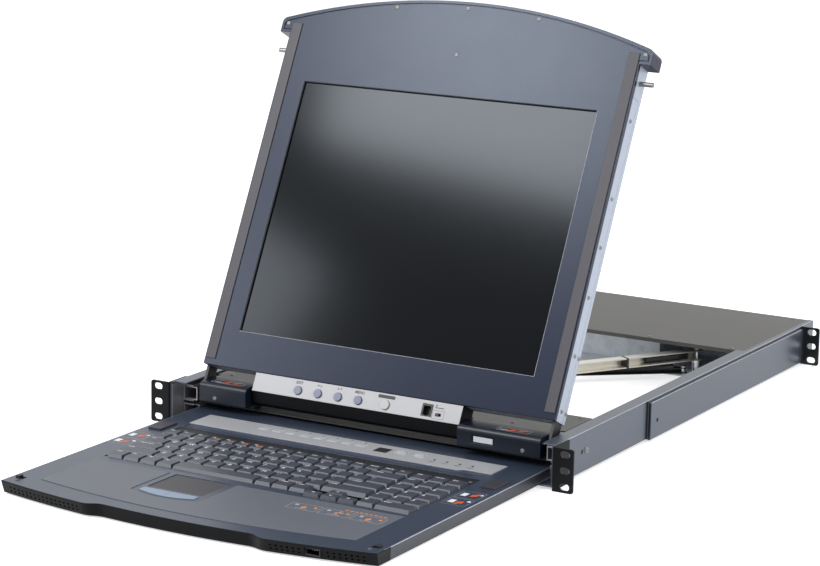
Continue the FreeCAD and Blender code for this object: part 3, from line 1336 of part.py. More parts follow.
finish("lcd_bezel", tilt(carve("lcd_bezel_cut", bezel_form,
                               taps("bezel_taps", BEZEL_SPOTS, UP, depth=1.6))))

# Screen module behind the bezel
glass = block("screen_glass", ("0.2 - screen_half", "screen_half - 0.2"),
              ("screen_rise + 0.2", "screen_rise + screen_height - 0.2"),
              ("face_offset - bezel_gauge - 1", "face_offset - screen_recess"))
module = block("screen_module_body", ("-screen_half - 6", "screen_half + 6"),
               ("screen_rise - 6", "screen_rise + screen_height + 6"),
               ("face_offset - bezel_gauge - screen_module", "face_offset - bezel_gauge"))
finish("lcd_screen", tilt(join("lcd_screen_form", glass, module)))

# Back shell with openings for the lock pins and the hinge arms
shell_top = "screen_rise + handle_root"
shell_foot = "screen_rise - panel_chin"
back = "face_offset - panel_thickness"
shell_front = "face_offset - bezel_gauge"
shell_block = block("back_shell_form", ("-panel_half", "panel_half"),
                    (shell_foot, shell_top), (back, shell_front))
shell_hollow = block("back_shell_hollow", ("panel_gauge - panel_half",
                                           "panel_half - panel_gauge"),
                     (f"{shell_foot} + panel_gauge", f"{shell_top} - panel_gauge"),
                     (f"{back} + panel_gauge", f"{shell_front} + 1"))
arm_slot = block("arm_slot", ("arm_inner - 0.3", "arm_inner + arm_gauge"),
                 (f"{shell_foot} - 1", f"{shell_foot} + panel_gauge + 1"),
                 ("1.7 - arm_radius", "arm_radius + 0.3"))
pin_level = ("screen_rise + lock_pin_at", "face_offset - panel_thickness / 2")
pin_hole = rod("lock_pin_hole", "lock_pin_radius + pin_clearance", "x", "panel_half - 4", "6",
               pin_level)
panel_reach = handle_root - panel_foot
SIDE_SPOTS = [vec(half_panel, panel_foot + share * panel_reach, 4.1)
              for share in (0.845, 0.623, 0.486, 0.346, 0.183, 0.03)]
SIDE_SPOTS += [vec(half_panel, panel_foot + share * panel_reach, -6.2)
               for share in (0.183, 0.03)]
LEFT_SPOTS = [vec(-spot.x, spot.y, spot.z) for spot in SIDE_SPOTS]
seam = block("side_seam", ("panel_half - seam_depth", "panel_half + 1"),
             (f"{shell_foot} - 1", "screen_rise + lock_pin_at - 16"),
             ("seam_level - seam_width", "seam_level"))
seam_end = block("side_seam_end", ("panel_half - seam_depth", "panel_half + 1"),
                 ("screen_rise + lock_pin_at - 16 - seam_width", "screen_rise + lock_pin_at - 16"),
                 ("seam_level - seam_width", f"{shell_front} + 1"))
finish("lcd_back_shell", tilt(carve(
    "back_shell_cut", shell_block, shell_hollow, arm_slot, mirrored("arm_slot_turned", arm_slot),
    pin_hole, mirrored("pin_hole_turned", pin_hole), seam, mirrored("seam_turned", seam),
    seam_end, mirrored("seam_end_turned", seam_end),
    taps("right_side_taps", SIDE_SPOTS, RIGHT, depth=1.8),
    taps("left_side_taps", LEFT_SPOTS, LEFT, depth=1.8))))
rubber_strip = block("rubber_strip", ("rubber_strip_outer - rubber_strip_width",
                                      "rubber_strip_outer"),
                     ("screen_rise + rubber_strip_low", "screen_rise + rubber_strip_high"),
                     ("face_offset", "face_offset + rubber_strip_rise"))
finish("rubber_strips", tilt(bundle("rubber_strip_pair", rubber_strip,
                                    mirrored("rubber_strip_turned", rubber_strip))))
finish("lcd_screws", tilt(shaped("lcd_screw_set", Part.makeCompound(
    screws(BEZEL_SPOTS, UP, depth=1.6) + screws(SIDE_SPOTS, RIGHT, depth=1.8)
    + screws(LEFT_SPOTS, LEFT, depth=1.8)))))

# Hinge arms: flat lugs that turn on the carriage's pins and run up inside the shell
lug = rod("arm_lug", "arm_radius", "x", "arm_inner", "arm_gauge", ("0", "0"))
blade = block("arm_blade", ("arm_inner", "arm_inner + arm_gauge"), ("0", "arm_reach"),
              ("2 - arm_radius", "arm_radius"))
lug_bore = rod("arm_bore", "pin_radius + pin_clearance", "x", "arm_inner - 1", "arm_gauge + 2",
               ("0", "0"))
hinge_arm = carve("hinge_arm", join("hinge_arm_form", lug, blade), lug_bore)
finish("hinge_arms", tilt(bundle("hinge_arm_pair", hinge_arm,
                                 mirrored("hinge_arm_turned", hinge_arm))))

# Lock pins near the handle, each drawn inwards to free the screen unit
lock_pin = rod("lock_pin", "lock_pin_radius", "x", "lock_pin_tip - lock_pin_body",
               "lock_pin_body", pin_level)
finish("lock_pin_right", tilt(bundle("lock_pin_out", lock_pin)))
finish("lock_pin_left", tilt(mirrored("lock_pin_turned", lock_pin)))

# Control strip under the screen: a rounded housing, a thin face and the controls in it
chin_front = "face_offset - chin_face_gauge"
chin_form = prism("chin_form", "x", [
    (shell_foot, chin_front), ("chin_low", chin_front), ("-chin_depth", "chin_flat"),
    ("-chin_depth", "-chin_flat"), ("-chin_depth / 2", "-chin_depth"), (shell_foot, back)],
    "-chin_left", "chin_left + chin_right",
    [(runs("x", lambda middle: middle.y < s.chin_low + 1), "chin_round")])


def along_chin(text):
    """A place along the strip, kept in proportion to its right half."""
    return f"(({text}) * chin_right / drawn_chin)"


BUTTON_PLACES = [(along_chin(f"menu_button_first + {i} * menu_button_pitch"),
                  "menu_button_radius") for i in range(4)]
BUTTON_PLACES.append((along_chin("power_button_at"), "power_button_radius"))
JACK = along_chin("jack_centre")
SWITCH = f"({JACK} + switch_offset)"


def chin_tools(name, depth):
    """Openings of the controls in the face and, deeper, in the housing."""
    low = f"(face_offset - {depth})"
    tools = [rod(f"{name}_{i}", f"{radius} + 0.2", "z", low, f"{depth} + 1",
                 (x, "menu_button_level")) for i, (x, radius) in enumerate(BUTTON_PLACES)]
    tools.append(block(f"{name}_jack", (f"{JACK} - jack_width / 2",
                                        f"{JACK} + jack_width / 2"),
                       ("jack_level - jack_height / 2", "jack_level + jack_height / 2"),
                       (low, "face_offset + 1")))
    tools.append(block(f"{name}_switch", (f"{SWITCH} - switch_width / 2",
                                          f"{SWITCH} + switch_width / 2"),
                       ("switch_level - switch_height / 2", "switch_level + switch_height / 2"),
                       (low, "face_offset + 1")))
    return tools


finish("chin_housing", tilt(carve("chin_housing_cut", chin_form,
                                  *chin_tools("chin_pocket_tool", "chin_pocket"))))
chin_sheet = block("chin_sheet", ("-chin_left", "chin_right"), ("chin_low", "chin_top"),
                   (chin_front, "face_offset"))
finish("chin_face", tilt(carve("chin_face_cut", chin_sheet, *chin_tools("chin_hole", "3"))))
menu_buttons = [rod(f"menu_button_{i}", radius, "z", "face_offset - 5", "5 + menu_button_rise",
                    (x, "menu_button_level")) for i, (x, radius) in enumerate(BUTTON_PLACES)]
finish("menu_buttons", tilt(bundle("menu_button_set", *menu_buttons[:4])))
finish("power_button", tilt(bundle("power_button_form", menu_buttons[4])))
jack_body = block("jack_body", (f"{JACK} - jack_width / 2", f"{JACK} + jack_width / 2"),
                  ("jack_level - jack_height / 2", "jack_level + jack_height / 2"),
                  ("face_offset - chin_pocket", "face_offset + 0.4"))
jack_mouth = block("jack_mouth", (f"{JACK} - jack_mouth / 2", f"{JACK} + jack_mouth / 2"),
                   ("jack_level - jack_height / 2 + 1.4", "jack_level + jack_mouth / 2"),
                   ("face_offset - chin_pocket + 1", "face_offset + 1"))
jack_key = block("jack_key", (f"{JACK} - jack_mouth / 4", f"{JACK} + jack_mouth / 4"),
                 ("jack_level - jack_height / 2 + 0.6", "jack_level - jack_height / 2 + 2"),
                 ("face_offset - chin_pocket + 1", "face_offset + 1"))
finish("service_jack", tilt(carve("service_jack_cut", jack_body, jack_mouth, jack_key)))
switch_knob = block("switch_knob", (f"{SWITCH} - switch_width / 2 + 0.2",
                                    f"{SWITCH} + switch_width / 2 - switch_travel - 0.2"),
                    ("switch_level - switch_height / 2 + 0.2",
                     "switch_level + switch_height / 2 - 0.2"),
                    ("face_offset - 3", "face_offset + 1"))
finish("mode_switch", tilt(bundle("switch_knob_form", switch_knob)))

# Every object is checked before anything is written
doc.recompute()
broken = [item.Name for item in doc.Objects
          if "Invalid" in item.State or "Error" in item.State]
for label, item in subparts.items():
    if item.Shape.isNull() or not item.Shape.isValid() or not item.Shape.Solids:
        broken.append(label)
if broken:
    raise ValueError("these did not build: " + ", ".join(broken))
os.makedirs("parts", exist_ok=True)
for label, item in subparts.items():
    item.Shape.exportStep(f"parts/{label}.step")
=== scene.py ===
"""Rackmount console drawer with a tilting screen: finishes, printed detail and studio."""

import json
import logging
import math
from dataclasses import dataclass, field
from enum import Enum
from typing import Sequence

import bpy
from mathutils import Matrix, Vector

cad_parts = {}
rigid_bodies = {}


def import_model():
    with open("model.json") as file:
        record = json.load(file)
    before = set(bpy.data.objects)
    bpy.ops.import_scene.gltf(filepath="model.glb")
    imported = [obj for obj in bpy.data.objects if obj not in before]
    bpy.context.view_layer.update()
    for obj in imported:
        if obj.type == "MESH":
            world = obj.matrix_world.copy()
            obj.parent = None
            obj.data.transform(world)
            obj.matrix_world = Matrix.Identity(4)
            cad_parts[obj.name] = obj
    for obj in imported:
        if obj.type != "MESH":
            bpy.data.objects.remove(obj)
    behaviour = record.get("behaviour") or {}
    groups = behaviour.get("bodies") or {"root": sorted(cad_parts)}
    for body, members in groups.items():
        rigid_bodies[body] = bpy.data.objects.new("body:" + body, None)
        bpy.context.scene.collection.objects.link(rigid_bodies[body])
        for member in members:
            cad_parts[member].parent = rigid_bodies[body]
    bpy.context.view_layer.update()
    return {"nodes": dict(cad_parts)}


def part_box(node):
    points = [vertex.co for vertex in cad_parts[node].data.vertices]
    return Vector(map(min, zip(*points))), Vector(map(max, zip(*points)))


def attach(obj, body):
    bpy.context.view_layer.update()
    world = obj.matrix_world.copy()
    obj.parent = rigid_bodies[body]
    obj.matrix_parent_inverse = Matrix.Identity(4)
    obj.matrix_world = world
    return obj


LOG = logging.getLogger("console_drawer")
MM = 0.001
Colour = tuple[float, float, float]
Point = tuple[float, float, float]
Span = tuple[float, float]
Field = tuple[Span, Span]


def srgb(red: float, green: float, blue: float) -> Colour:
    """Turns a colour as seen on a screen, 0 to 255, into linear light.

    Args:
        red: Red as seen, 0 to 255.
        green: Green as seen.
        blue: Blue as seen.

    Returns:
        The colour that the shaders take.
    """
    def linear(value: float) -> float:
        """One channel in linear light."""
        share = value / 255
        return share / 12.92 if share <= 0.04045 else ((share + 0.055) / 1.055) ** 2.4
    return linear(red), linear(green), linear(blue)


REAR_BLACK = srgb(20, 21, 24)


@dataclass(frozen=True)
class Pattern:
    """How a grain is drawn: a noise for its height and, where it has them, cells for colour."""

    scale: float
    detail: float
    depth: float
    stretch: Point = (1.0, 1.0, 1.0)
    cells: float = 0.0


class Grain(Enum):
    """The fine structure that a surface shows close up."""

    POWDER = Pattern(900, 2, 0.06 * MM)
    FLAKE = Pattern(1100, 2, 0.03 * MM, cells=1400)
    ROLLED = Pattern(60, 4, 0.03 * MM, (8, 0.4, 8))
    SPANGLE = Pattern(160, 3, 0.04 * MM, cells=120)
    BRUSHED = Pattern(250, 3, 0.02 * MM, (0.12, 6, 6))
    MOULDED = Pattern(1300, 2, 0.04 * MM)
    SOFT = Pattern(600, 3, 0.08 * MM)
    SMOOTH = Pattern(40, 2, 0.005 * MM)


class NodeSheet:
    """A small helper that lays out shader nodes and wires them."""

    def __init__(self, material: bpy.types.Material) -> None:
        """Clears the material's tree and adds its shader and output.

        Args:
            material: The material to lay out.
        """
        material.use_nodes = True
        self.tree = material.node_tree
        self.tree.nodes.clear()
        self.output = self.tree.nodes.new("ShaderNodeOutputMaterial")
        self.shader = self.tree.nodes.new("ShaderNodeBsdfPrincipled")
        self.wire(self.shader.outputs["BSDF"], self.output.inputs["Surface"])

    def add(self, kind: str, **values: object) -> bpy.types.Node:
        """Adds a node and sets its properties and inputs by name.

        Args:
            kind: The node's type without its ShaderNode prefix.
            values: Properties of the node, or inputs where no property has the name.

        Returns:
            The new node.
        """
        node = self.tree.nodes.new("ShaderNode" + kind)
        for name, value in values.items():
            if hasattr(node, name):
                setattr(node, name, value)
            else:
                node.inputs[name.replace("_", " ")].default_value = value
        return node

    def wire(self, out: bpy.types.NodeSocket, into: bpy.types.NodeSocket) -> None:
        """Joins two sockets."""
        self.tree.links.new(out, into)

    def place(self, scale: Sequence[float] = (1, 1, 1)) -> bpy.types.NodeSocket:
        """Object coordinates, scaled for a pattern that runs one way.

        Args:
            scale: How much finer the pattern is along x, y and z.

        Returns:
            The socket of the coordinates.
        """
        where = self.add("TexCoord")
        mapping = self.add("Mapping")
        mapping.inputs["Scale"].default_value = tuple(scale)
        self.wire(where.outputs["Object"], mapping.inputs["Vector"])
        return mapping.outputs["Vector"]

    def noise(self, scale: float, detail: float,
              stretch: Sequence[float] = (1, 1, 1)) -> bpy.types.NodeSocket:
        """A noise in object space.

        Args:
            scale: How many waves it has in a metre.
            detail: How many finer layers it has.
            stretch: How much finer it is along x, y and z.

        Returns:
            The socket of its value, 0 to 1.
        """
        node = self.add("TexNoise", Scale=scale, Detail=detail, Roughness=0.6)
        self.wire(self.place(stretch), node.inputs["Vector"])
        return node.outputs["Fac"]

    def cells(self, scale: float) -> bpy.types.NodeSocket:
        """Small cells of chance brightness, for flakes and zinc spangle.

        Args:
            scale: How many cells lie in a metre.

        Returns:
            The socket of their brightness, 0 to 1.
        """
        node = self.add("TexVoronoi", Scale=scale)
        self.wire(self.place(), node.inputs["Vector"])
        split = self.add("SeparateColor")
        self.wire(node.outputs["Color"], split.inputs["Color"])
        return split.outputs["Red"]

    def spread(self, source: bpy.types.NodeSocket, low: float,
               high: float) -> bpy.types.NodeSocket:
        """Maps a 0 to 1 pattern to a range.

        Args:
            source: The pattern.
            low: What 0 becomes.
            high: What 1 becomes.

        Returns:
            The socket of the mapped pattern.
        """
        node = self.add("MapRange")
        node.inputs["To Min"].default_value = low
        node.inputs["To Max"].default_value = high
        self.wire(source, node.inputs["Value"])
        return node.outputs["Result"]

    def blend(self, share: bpy.types.NodeSocket, first: Colour,
              second: Colour) -> bpy.types.NodeSocket:
        """Mixes two colours by a pattern.

        Args:
            share: The pattern: 0 gives the first colour and 1 the second.
            first: The first colour.
            second: The second colour.

        Returns:
            The socket of the mixed colour.
        """
        node = self.add("Mix", data_type="RGBA")
        node.inputs[6].default_value = (*first, 1)
        node.inputs[7].default_value = (*second, 1)
        self.wire(share, node.inputs[0])
        return node.outputs[2]

    def darken_behind(self, colour: bpy.types.NodeSocket, limit: float,
                      fade: float = 1 * MM) -> bpy.types.NodeSocket:
        """Turns a colour near black behind a limit along the depth, as on a rear ear.

        Args:
            colour: The colour in front of the limit.
            limit: Where the black begins along y, in metres.
            fade: How wide the change is.

        Returns:
            The socket of the colour.
        """
        split = self.add("SeparateXYZ")
        self.wire(self.place(), split.inputs["Vector"])
        share = self.add("MapRange", clamp=True)
        share.inputs["From Min"].default_value = limit
        share.inputs["From Max"].default_value = limit + fade
        self.wire(split.outputs["Y"], share.inputs["Value"])
        node = self.add("Mix", data_type="RGBA")
        self.wire(share.outputs["Result"], node.inputs[0])
        self.wire(colour, node.inputs[6])
        node.inputs[7].default_value = (*REAR_BLACK, 1)
        return node.outputs[2]

    def bump(self, height: bpy.types.NodeSocket, strength: float, depth: float,
             radius: float) -> None:
        """Raises the surface by a pattern, over edges that look rounded.

        Args:
            height: The pattern.
            strength: How much of it is used, 0 to 1.
            depth: Its height in metres.
            radius: The radius of the rounded edges.
        """
        edge = self.add("Bevel", samples=4, Radius=radius)
        node = self.add("Bump", Strength=strength, Distance=depth)
        self.wire(height, node.inputs["Height"])
        self.wire(edge.outputs["Normal"], node.inputs["Normal"])
        self.wire(node.outputs["Normal"], self.shader.inputs["Normal"])


@dataclass(frozen=True)
class Finish:
    """One surface finish: its colour, its gloss and its fine grain."""

    name: str
    colour: Colour
    roughness: float = 0.45
    metallic: float = 0.0
    grain: Grain = Grain.MOULDED
    variation: float = 0.12
    specular: float = 0.5
    coat: float = 0.0
    edge: float = 0.5 * MM
    black_behind: float = 0.0
    tint: Colour = (1.0, 1.0, 1.0)
    coat_roughness: float = 0.18
    gloss_sway: float = 0.04
    gloss_scale: float = 35.0
    relief: float = 0.35

    def build(self) -> bpy.types.Material:
        """Makes the material, once for each finish.

        Returns:
            The material with its pattern on object coordinates.
        """
        known = bpy.data.materials.get(self.name)
        if known is not None:
            return known
        material = bpy.data.materials.new(self.name)
        sheet = NodeSheet(material)
        shader = sheet.shader
        shader.inputs["Metallic"].default_value = self.metallic
        shader.inputs["Specular IOR Level"].default_value = self.specular
        shader.inputs["Specular Tint"].default_value = (*self.tint, 1)
        shader.inputs["Coat Weight"].default_value = self.coat
        shader.inputs["Coat Roughness"].default_value = self.coat_roughness
        drawn = self.grain.value
        height = sheet.noise(drawn.scale, drawn.detail, drawn.stretch)
        pattern = sheet.cells(drawn.cells) if drawn.cells else height
        dark = tuple(channel * (1 - self.variation) for channel in self.colour)
        light = tuple(min(1.0, channel * (1 + self.variation)) for channel in self.colour)
        colour = sheet.blend(pattern, dark, light)
        if self.black_behind:
            colour = sheet.darken_behind(colour, self.black_behind)
        sheet.wire(colour, shader.inputs["Base Color"])
        gloss = sheet.spread(sheet.noise(self.gloss_scale, 2),
                             self.roughness * (1 - self.gloss_sway),
                             min(1.0, self.roughness * (1 + self.gloss_sway)))
        sheet.wire(gloss, shader.inputs["Roughness"])
        sheet.bump(height, self.relief, drawn.depth, self.edge)
        return material


NAVY = Finish("navy metallic paint", srgb(60, 70, 88), 0.36, 0.3, Grain.FLAKE, 0.16, coat=0.12)
RAIL_PAINT = Finish("rail paint", srgb(77, 85, 97), 0.36, 0.5, Grain.POWDER, 0.08, coat=0.15,
                    edge=1.6 * MM)
BRACKET_PAINT = Finish("rear bracket paint", srgb(77, 85, 97), 0.36, 0.5, Grain.POWDER, 0.08,
                       coat=0.15, edge=1.6 * MM, black_behind=606 * MM)
TRAY_PAINT = Finish("tray paint", srgb(50, 54, 62), 0.42, 0.2, Grain.POWDER, 0.08, edge=1.0 * MM)
HANDLE_PAINT = Finish("handle paint", srgb(7, 8, 10), 0.42, 0.0, Grain.POWDER, 0.08,
                      specular=0.12, edge=1.0 * MM)
HOUSING_PAINT = Finish("housing paint", srgb(15, 22, 36), 0.32, 0.15, Grain.POWDER, 0.1,
                       specular=0.4, edge=1.4 * MM)
EAR_PAINT = Finish("ear powder coat", srgb(9, 10, 13), 0.5, 0.0, Grain.POWDER, 0.1,
                   specular=0.15)
BEZEL = Finish("bezel paint", srgb(18, 27, 48), 0.25, 0.0, Grain.FLAKE, 0.14, specular=0.22,
               tint=(0.78, 0.86, 1.0))
SHELL = Finish("pale side panels", srgb(168, 176, 190), 0.42, 0.3, Grain.ROLLED, 0.04)
OLIVE = Finish("dark cover sheet", srgb(86, 85, 81), 0.5, 0.35, Grain.ROLLED, 0.06)
DARK_SHEET = Finish("dark carriage sheet", srgb(52, 51, 46), 0.5, 0.2, Grain.ROLLED, 0.06)
ZINC = Finish("galvanised sheet", srgb(222, 228, 232), 0.45, 0.3, Grain.SPANGLE, 0.08)
SATIN = Finish("satin slide steel", srgb(176, 176, 182), 0.34, 0.85, Grain.BRUSHED, 0.06)
ARM_STEEL = Finish("warm plated arms", srgb(222, 218, 206), 0.3, 0.6, Grain.ROLLED, 0.06)
STEEL = Finish("bright steel", srgb(200, 202, 206), 0.25, 0.95, Grain.BRUSHED, 0.06)
SILVER = Finish("silver strip sheet", srgb(158, 158, 161), 0.42, 0.25, Grain.BRUSHED, 0.03)
STATUS = Finish("status strip sheet", srgb(190, 191, 194), 0.42, 0.3, Grain.BRUSHED, 0.03)
PANE = Finish("receiver pane", srgb(214, 216, 224), 0.35, 0.1, Grain.SMOOTH, 0.03)
FILM = Finish("palm rest film", srgb(94, 98, 107), 0.46, 0.0, Grain.MOULDED, 0.05)
KEYS = Finish("key plastic", srgb(60, 64, 76), 0.38, 0.0, Grain.MOULDED, 0.06)
BLACK = Finish("black plastic", srgb(16, 17, 20), 0.45, 0.0, Grain.MOULDED, 0.15)
PAD = Finish("touchpad surface", srgb(58, 58, 63), 0.5, 0.0, Grain.MOULDED, 0.06)
PALE_BLUE = Finish("pale blue buttons", srgb(132, 150, 172), 0.34, 0.2, Grain.MOULDED, 0.05)
PORT_KEYS = Finish("port buttons", srgb(190, 194, 200), 0.4, 0.1, Grain.MOULDED, 0.03)
BUTTON = Finish("round buttons", srgb(104, 110, 130), 0.3, 0.1, Grain.SMOOTH, 0.05)
PALE_BUTTON = Finish("pale round button", srgb(170, 171, 168), 0.3, 0.1, Grain.SMOOTH, 0.03)
RUBBER = Finish("grey rubber", srgb(58, 56, 64), 0.42, 0.0, Grain.SOFT, 0.10, specular=0.35)
GLASS = Finish("screen glass", srgb(6, 7, 9), 0.115, 0.0, Grain.SMOOTH, 0.05, specular=0.13,
               tint=(0.82, 0.91, 1.0))
BOARD = Finish("circuit board", srgb(22, 82, 52), 0.45, 0.0, Grain.MOULDED, 0.15)
SCREW = Finish("plated screws", srgb(138, 136, 134), 0.45, 0.35, Grain.SMOOTH, 0.06)
DULL_SCREW = Finish("dull deck screws", srgb(92, 92, 96), 0.4, 0.7, Grain.SMOOTH, 0.06)
ORANGE = Finish("printed orange", srgb(222, 92, 40), 0.5, 0.0, Grain.SMOOTH, 0.04)
AMBER = Finish("printed amber", srgb(222, 142, 88), 0.5, 0.0, Grain.SMOOTH, 0.04)
WHITE = Finish("printed white", srgb(236, 238, 242), 0.5, 0.0, Grain.SMOOTH, 0.03)
INK = Finish("printed dark grey", srgb(52, 52, 56), 0.5, 0.0, Grain.SMOOTH, 0.03)
LINE = Finish("printed line grey", srgb(176, 180, 188), 0.5, 0.0, Grain.SMOOTH, 0.03)
# Painted highlight: a pale metal colour for thin lines that stand in for light caught on rounded
# edges and bends.
PAINTED_HIGHLIGHT = Finish("painted highlight lines", srgb(160, 162, 170), 0.35, 0.5, Grain.BRUSHED, 0.04)
# Painted shade: a dark colour for the sloped rim round the screen, standing in for the shadow
# line at its edge.
SCREEN_EDGE_SHADE = Finish("dark screen rim with painted shade", srgb(26, 27, 31), 0.5, 0.0, Grain.SOFT, 0.08, specular=0.3)
PIN = Finish("lock pin steel", srgb(128, 126, 124), 0.3, 0.9, Grain.BRUSHED, 0.06)


NODES: dict[str, str] = {}
LEAN = math.radians(90 - 26.2)
HINGE = (0.0, 40.0 * MM, 11.5 * MM)
TILT = Matrix.Translation(HINGE) @ Matrix.Rotation(LEAN, 4, "X")


def clear_selection() -> None:
    """Leaves object mode with nothing selected."""
    if bpy.context.object is not None and bpy.context.object.mode != "OBJECT":
        bpy.ops.object.mode_set(mode="OBJECT")
    bpy.ops.object.select_all(action="DESELECT")


def choose(items: Sequence[bpy.types.Object]) -> bpy.types.Object:
    """Selects these items alone, the first of them active.

    Args:
        items: The objects to select.

    Returns:
        The active one.
    """
    clear_selection()
    for item in items:
        item.select_set(True)
    bpy.context.view_layer.objects.active = items[0]
    return items[0]


def bake_place(items: Sequence[bpy.types.Object], tilted: bool = False) -> bpy.types.Object:
    """Joins items and moves their place into the mesh.

    Args:
        items: Mesh objects of one piece.
        tilted: Whether they were laid out flat on the screen unit, which leans back.

    Returns:
        The joined object at the origin.
    """
    if tilted:
        for item in items:
            item.matrix_world = TILT @ item.matrix_world
    whole = choose(items)
    if len(items) > 1:
        bpy.ops.object.join()
    bpy.ops.object.transform_apply(location=True, rotation=True, scale=True)
    return whole


@dataclass(frozen=True)
class Place:
    """Where a finished piece belongs: its body and its surface; its slot name is not used."""

    body: str
    slot: str
    finish: Finish
    tilted: bool = False

    def hold(self, name: str, items: Sequence[bpy.types.Object]) -> bpy.types.Object:
        """Finishes one piece and hands it to its body.

        Args:
            name: The piece's name.
            items: The mesh objects that it is made of.

        Returns:
            The finished piece.
        """
        piece = bake_place(items, self.tilted)
        piece.name = name
        piece.data.name = name
        piece.data.materials.clear()
        piece.data.materials.append(self.finish.build())
        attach(piece, self.body)
        LOG.info("piece %s rides on %s", name, self.body)
        return piece


def between(first: float, second: float) -> Span:
    """Two places on one axis, the lower one first."""
    return min(first, second), max(first, second)


def shifted(span: Span, by: float) -> Span:
    """A stretch of one axis, moved along it."""
    return span[0] + by, span[1] + by


def words(text: str, left: float, rear: float, level: float, size: float,
          centred: bool = False, weight: float = 0.02) -> bpy.types.Object:
    """Flat lettering that hangs down from its top left corner, or from its top middle.

    Args:
        text: What it says; a line break starts a lower line.
        left: Its left end, or its middle where it is centred, in metres.
        rear: The top of its first line.
        level: The height it lies at.
        size: The height of the type.
        centred: Whether it is set about its middle.
        weight: How much bolder its strokes are, as a share of its size.

    Returns:
        A mesh object.
    """
    capital_share, line_share = 0.72, 0.82
    clear_selection()
    bpy.ops.object.text_add(location=(left, rear - size * capital_share, level))
    item = bpy.context.object
    item.data.body = text
    item.data.size = size
    item.data.space_line = line_share
    item.data.offset = size * weight
    item.data.resolution_u = 2
    item.data.align_x = "CENTER" if centred else "LEFT"
    choose([item])
    bpy.ops.object.convert(target="MESH")
    return bpy.context.object


def patch(x: Span, y: Span, level: float) -> bpy.types.Object:
    """A flat printed field between limits.

    Args:
        x: Its left and right edges in metres.
        y: Its front and rear edges.
        level: The height it lies at.

    Returns:
        A mesh object.
    """
    clear_selection()
    middle = ((x[0] + x[1]) / 2, (y[0] + y[1]) / 2, level)
    bpy.ops.mesh.primitive_plane_add(size=1, location=middle)
    item = bpy.context.object
    item.scale = (x[1] - x[0], y[1] - y[0], 1)
    choose([item])
    bpy.ops.object.transform_apply(location=False, rotation=False, scale=True)
    return item


def outline_mark(x: Span, y: Span, level: float, line: float) -> bpy.types.Object:
    """A printed rectangle drawn with a line: a plane inset, with its middle taken out.

    Args:
        x: Its left and right edges in metres.
        y: Its front and rear edges.
        level: The height it lies at.
        line: The width of the line.

    Returns:
        A mesh object.
    """
    item = patch(x, y, level)
    bpy.ops.object.mode_set(mode="EDIT")
    bpy.ops.mesh.select_all(action="SELECT")
    bpy.ops.mesh.inset(thickness=line)
    bpy.ops.mesh.delete(type="FACE")
    bpy.ops.object.mode_set(mode="OBJECT")
    return item


def dot_mark(x: float, y: float, level: float, radius: float) -> bpy.types.Object:
    """A printed round dot with a fine ring about it.

    Args:
        x: Its middle across, in metres.
        y: Its middle along.
        level: The height it lies at.
        radius: Its outer radius.

    Returns:
        A mesh object.
    """
    ring = radius * 0.2
    clear_selection()
    bpy.ops.mesh.primitive_circle_add(vertices=20, radius=radius, fill_type="NGON",
                                      location=(x, y, level))
    item = bpy.context.object
    bpy.ops.object.mode_set(mode="EDIT")
    bpy.ops.mesh.select_all(action="SELECT")
    bpy.ops.mesh.inset(thickness=ring)
    bpy.ops.object.mode_set(mode="OBJECT")
    return item


def arrow_mark(x: float, y: float, level: float, length: float,
               turn: float) -> bpy.types.Object:
    """A printed arrow: a triangle whose base edge is drawn out into a shaft.

    Args:
        x: Its middle across, in metres.
        y: Its middle along.
        level: The height it lies at.
        length: From tip to tail.
        turn: The way it points, in degrees from the rear, to the left.

    Returns:
        A mesh object.
    """
    head = length * 0.34
    neck, shaft, shaft_share = head * 0.05, head * 1.2, 0.42
    clear_selection()
    bpy.ops.mesh.primitive_circle_add(vertices=3, radius=head, fill_type="NGON",
                                      location=(x, y, level))
    item = bpy.context.object
    mesh = item.data
    low = min(vertex.co.y for vertex in mesh.vertices)
    bpy.ops.object.mode_set(mode="EDIT")
    bpy.ops.mesh.select_mode(type="EDGE")
    bpy.ops.mesh.select_all(action="DESELECT")
    bpy.ops.object.mode_set(mode="OBJECT")
    for edge in mesh.edges:
        edge.select = all(mesh.vertices[i].co.y < low + head * 0.1 for i in edge.vertices)
    bpy.ops.object.mode_set(mode="EDIT")
    bpy.ops.mesh.extrude_edges_move(TRANSFORM_OT_translate={"value": (0, -neck, 0)})
    bpy.ops.transform.resize(value=(shaft_share, 1, 1), center_override=(x, y, level))
    bpy.ops.mesh.extrude_edges_move(TRANSFORM_OT_translate={"value": (0, -shaft, 0)})
    bpy.ops.mesh.select_mode(type="VERT")
    bpy.ops.object.mode_set(mode="OBJECT")
    item.rotation_euler.z = math.radians(turn)
    return item


def plate(x: Span, y: Span, z: Span, edge: float) -> bpy.types.Object:
    """A thin plate between limits with its edges rounded.

    Args:
        x: Its left and right limits in metres.
        y: Its front and rear limits.
        z: Its lower and upper limits.
        edge: The radius of its edges.

    Returns:
        A mesh object.
    """
    clear_selection()
    middle = [(low + high) / 2 for low, high in (x, y, z)]
    bpy.ops.mesh.primitive_cube_add(size=1, location=middle)
    item = bpy.context.object
    item.scale = [high - low for low, high in (x, y, z)]
    choose([item])
    bpy.ops.object.transform_apply(location=False, rotation=False, scale=True)
    bpy.ops.object.mode_set(mode="EDIT")
    bpy.ops.mesh.select_all(action="SELECT")
    bpy.ops.mesh.bevel(offset=edge, segments=2, affect="EDGES")
    bpy.ops.object.mode_set(mode="OBJECT")
    return item


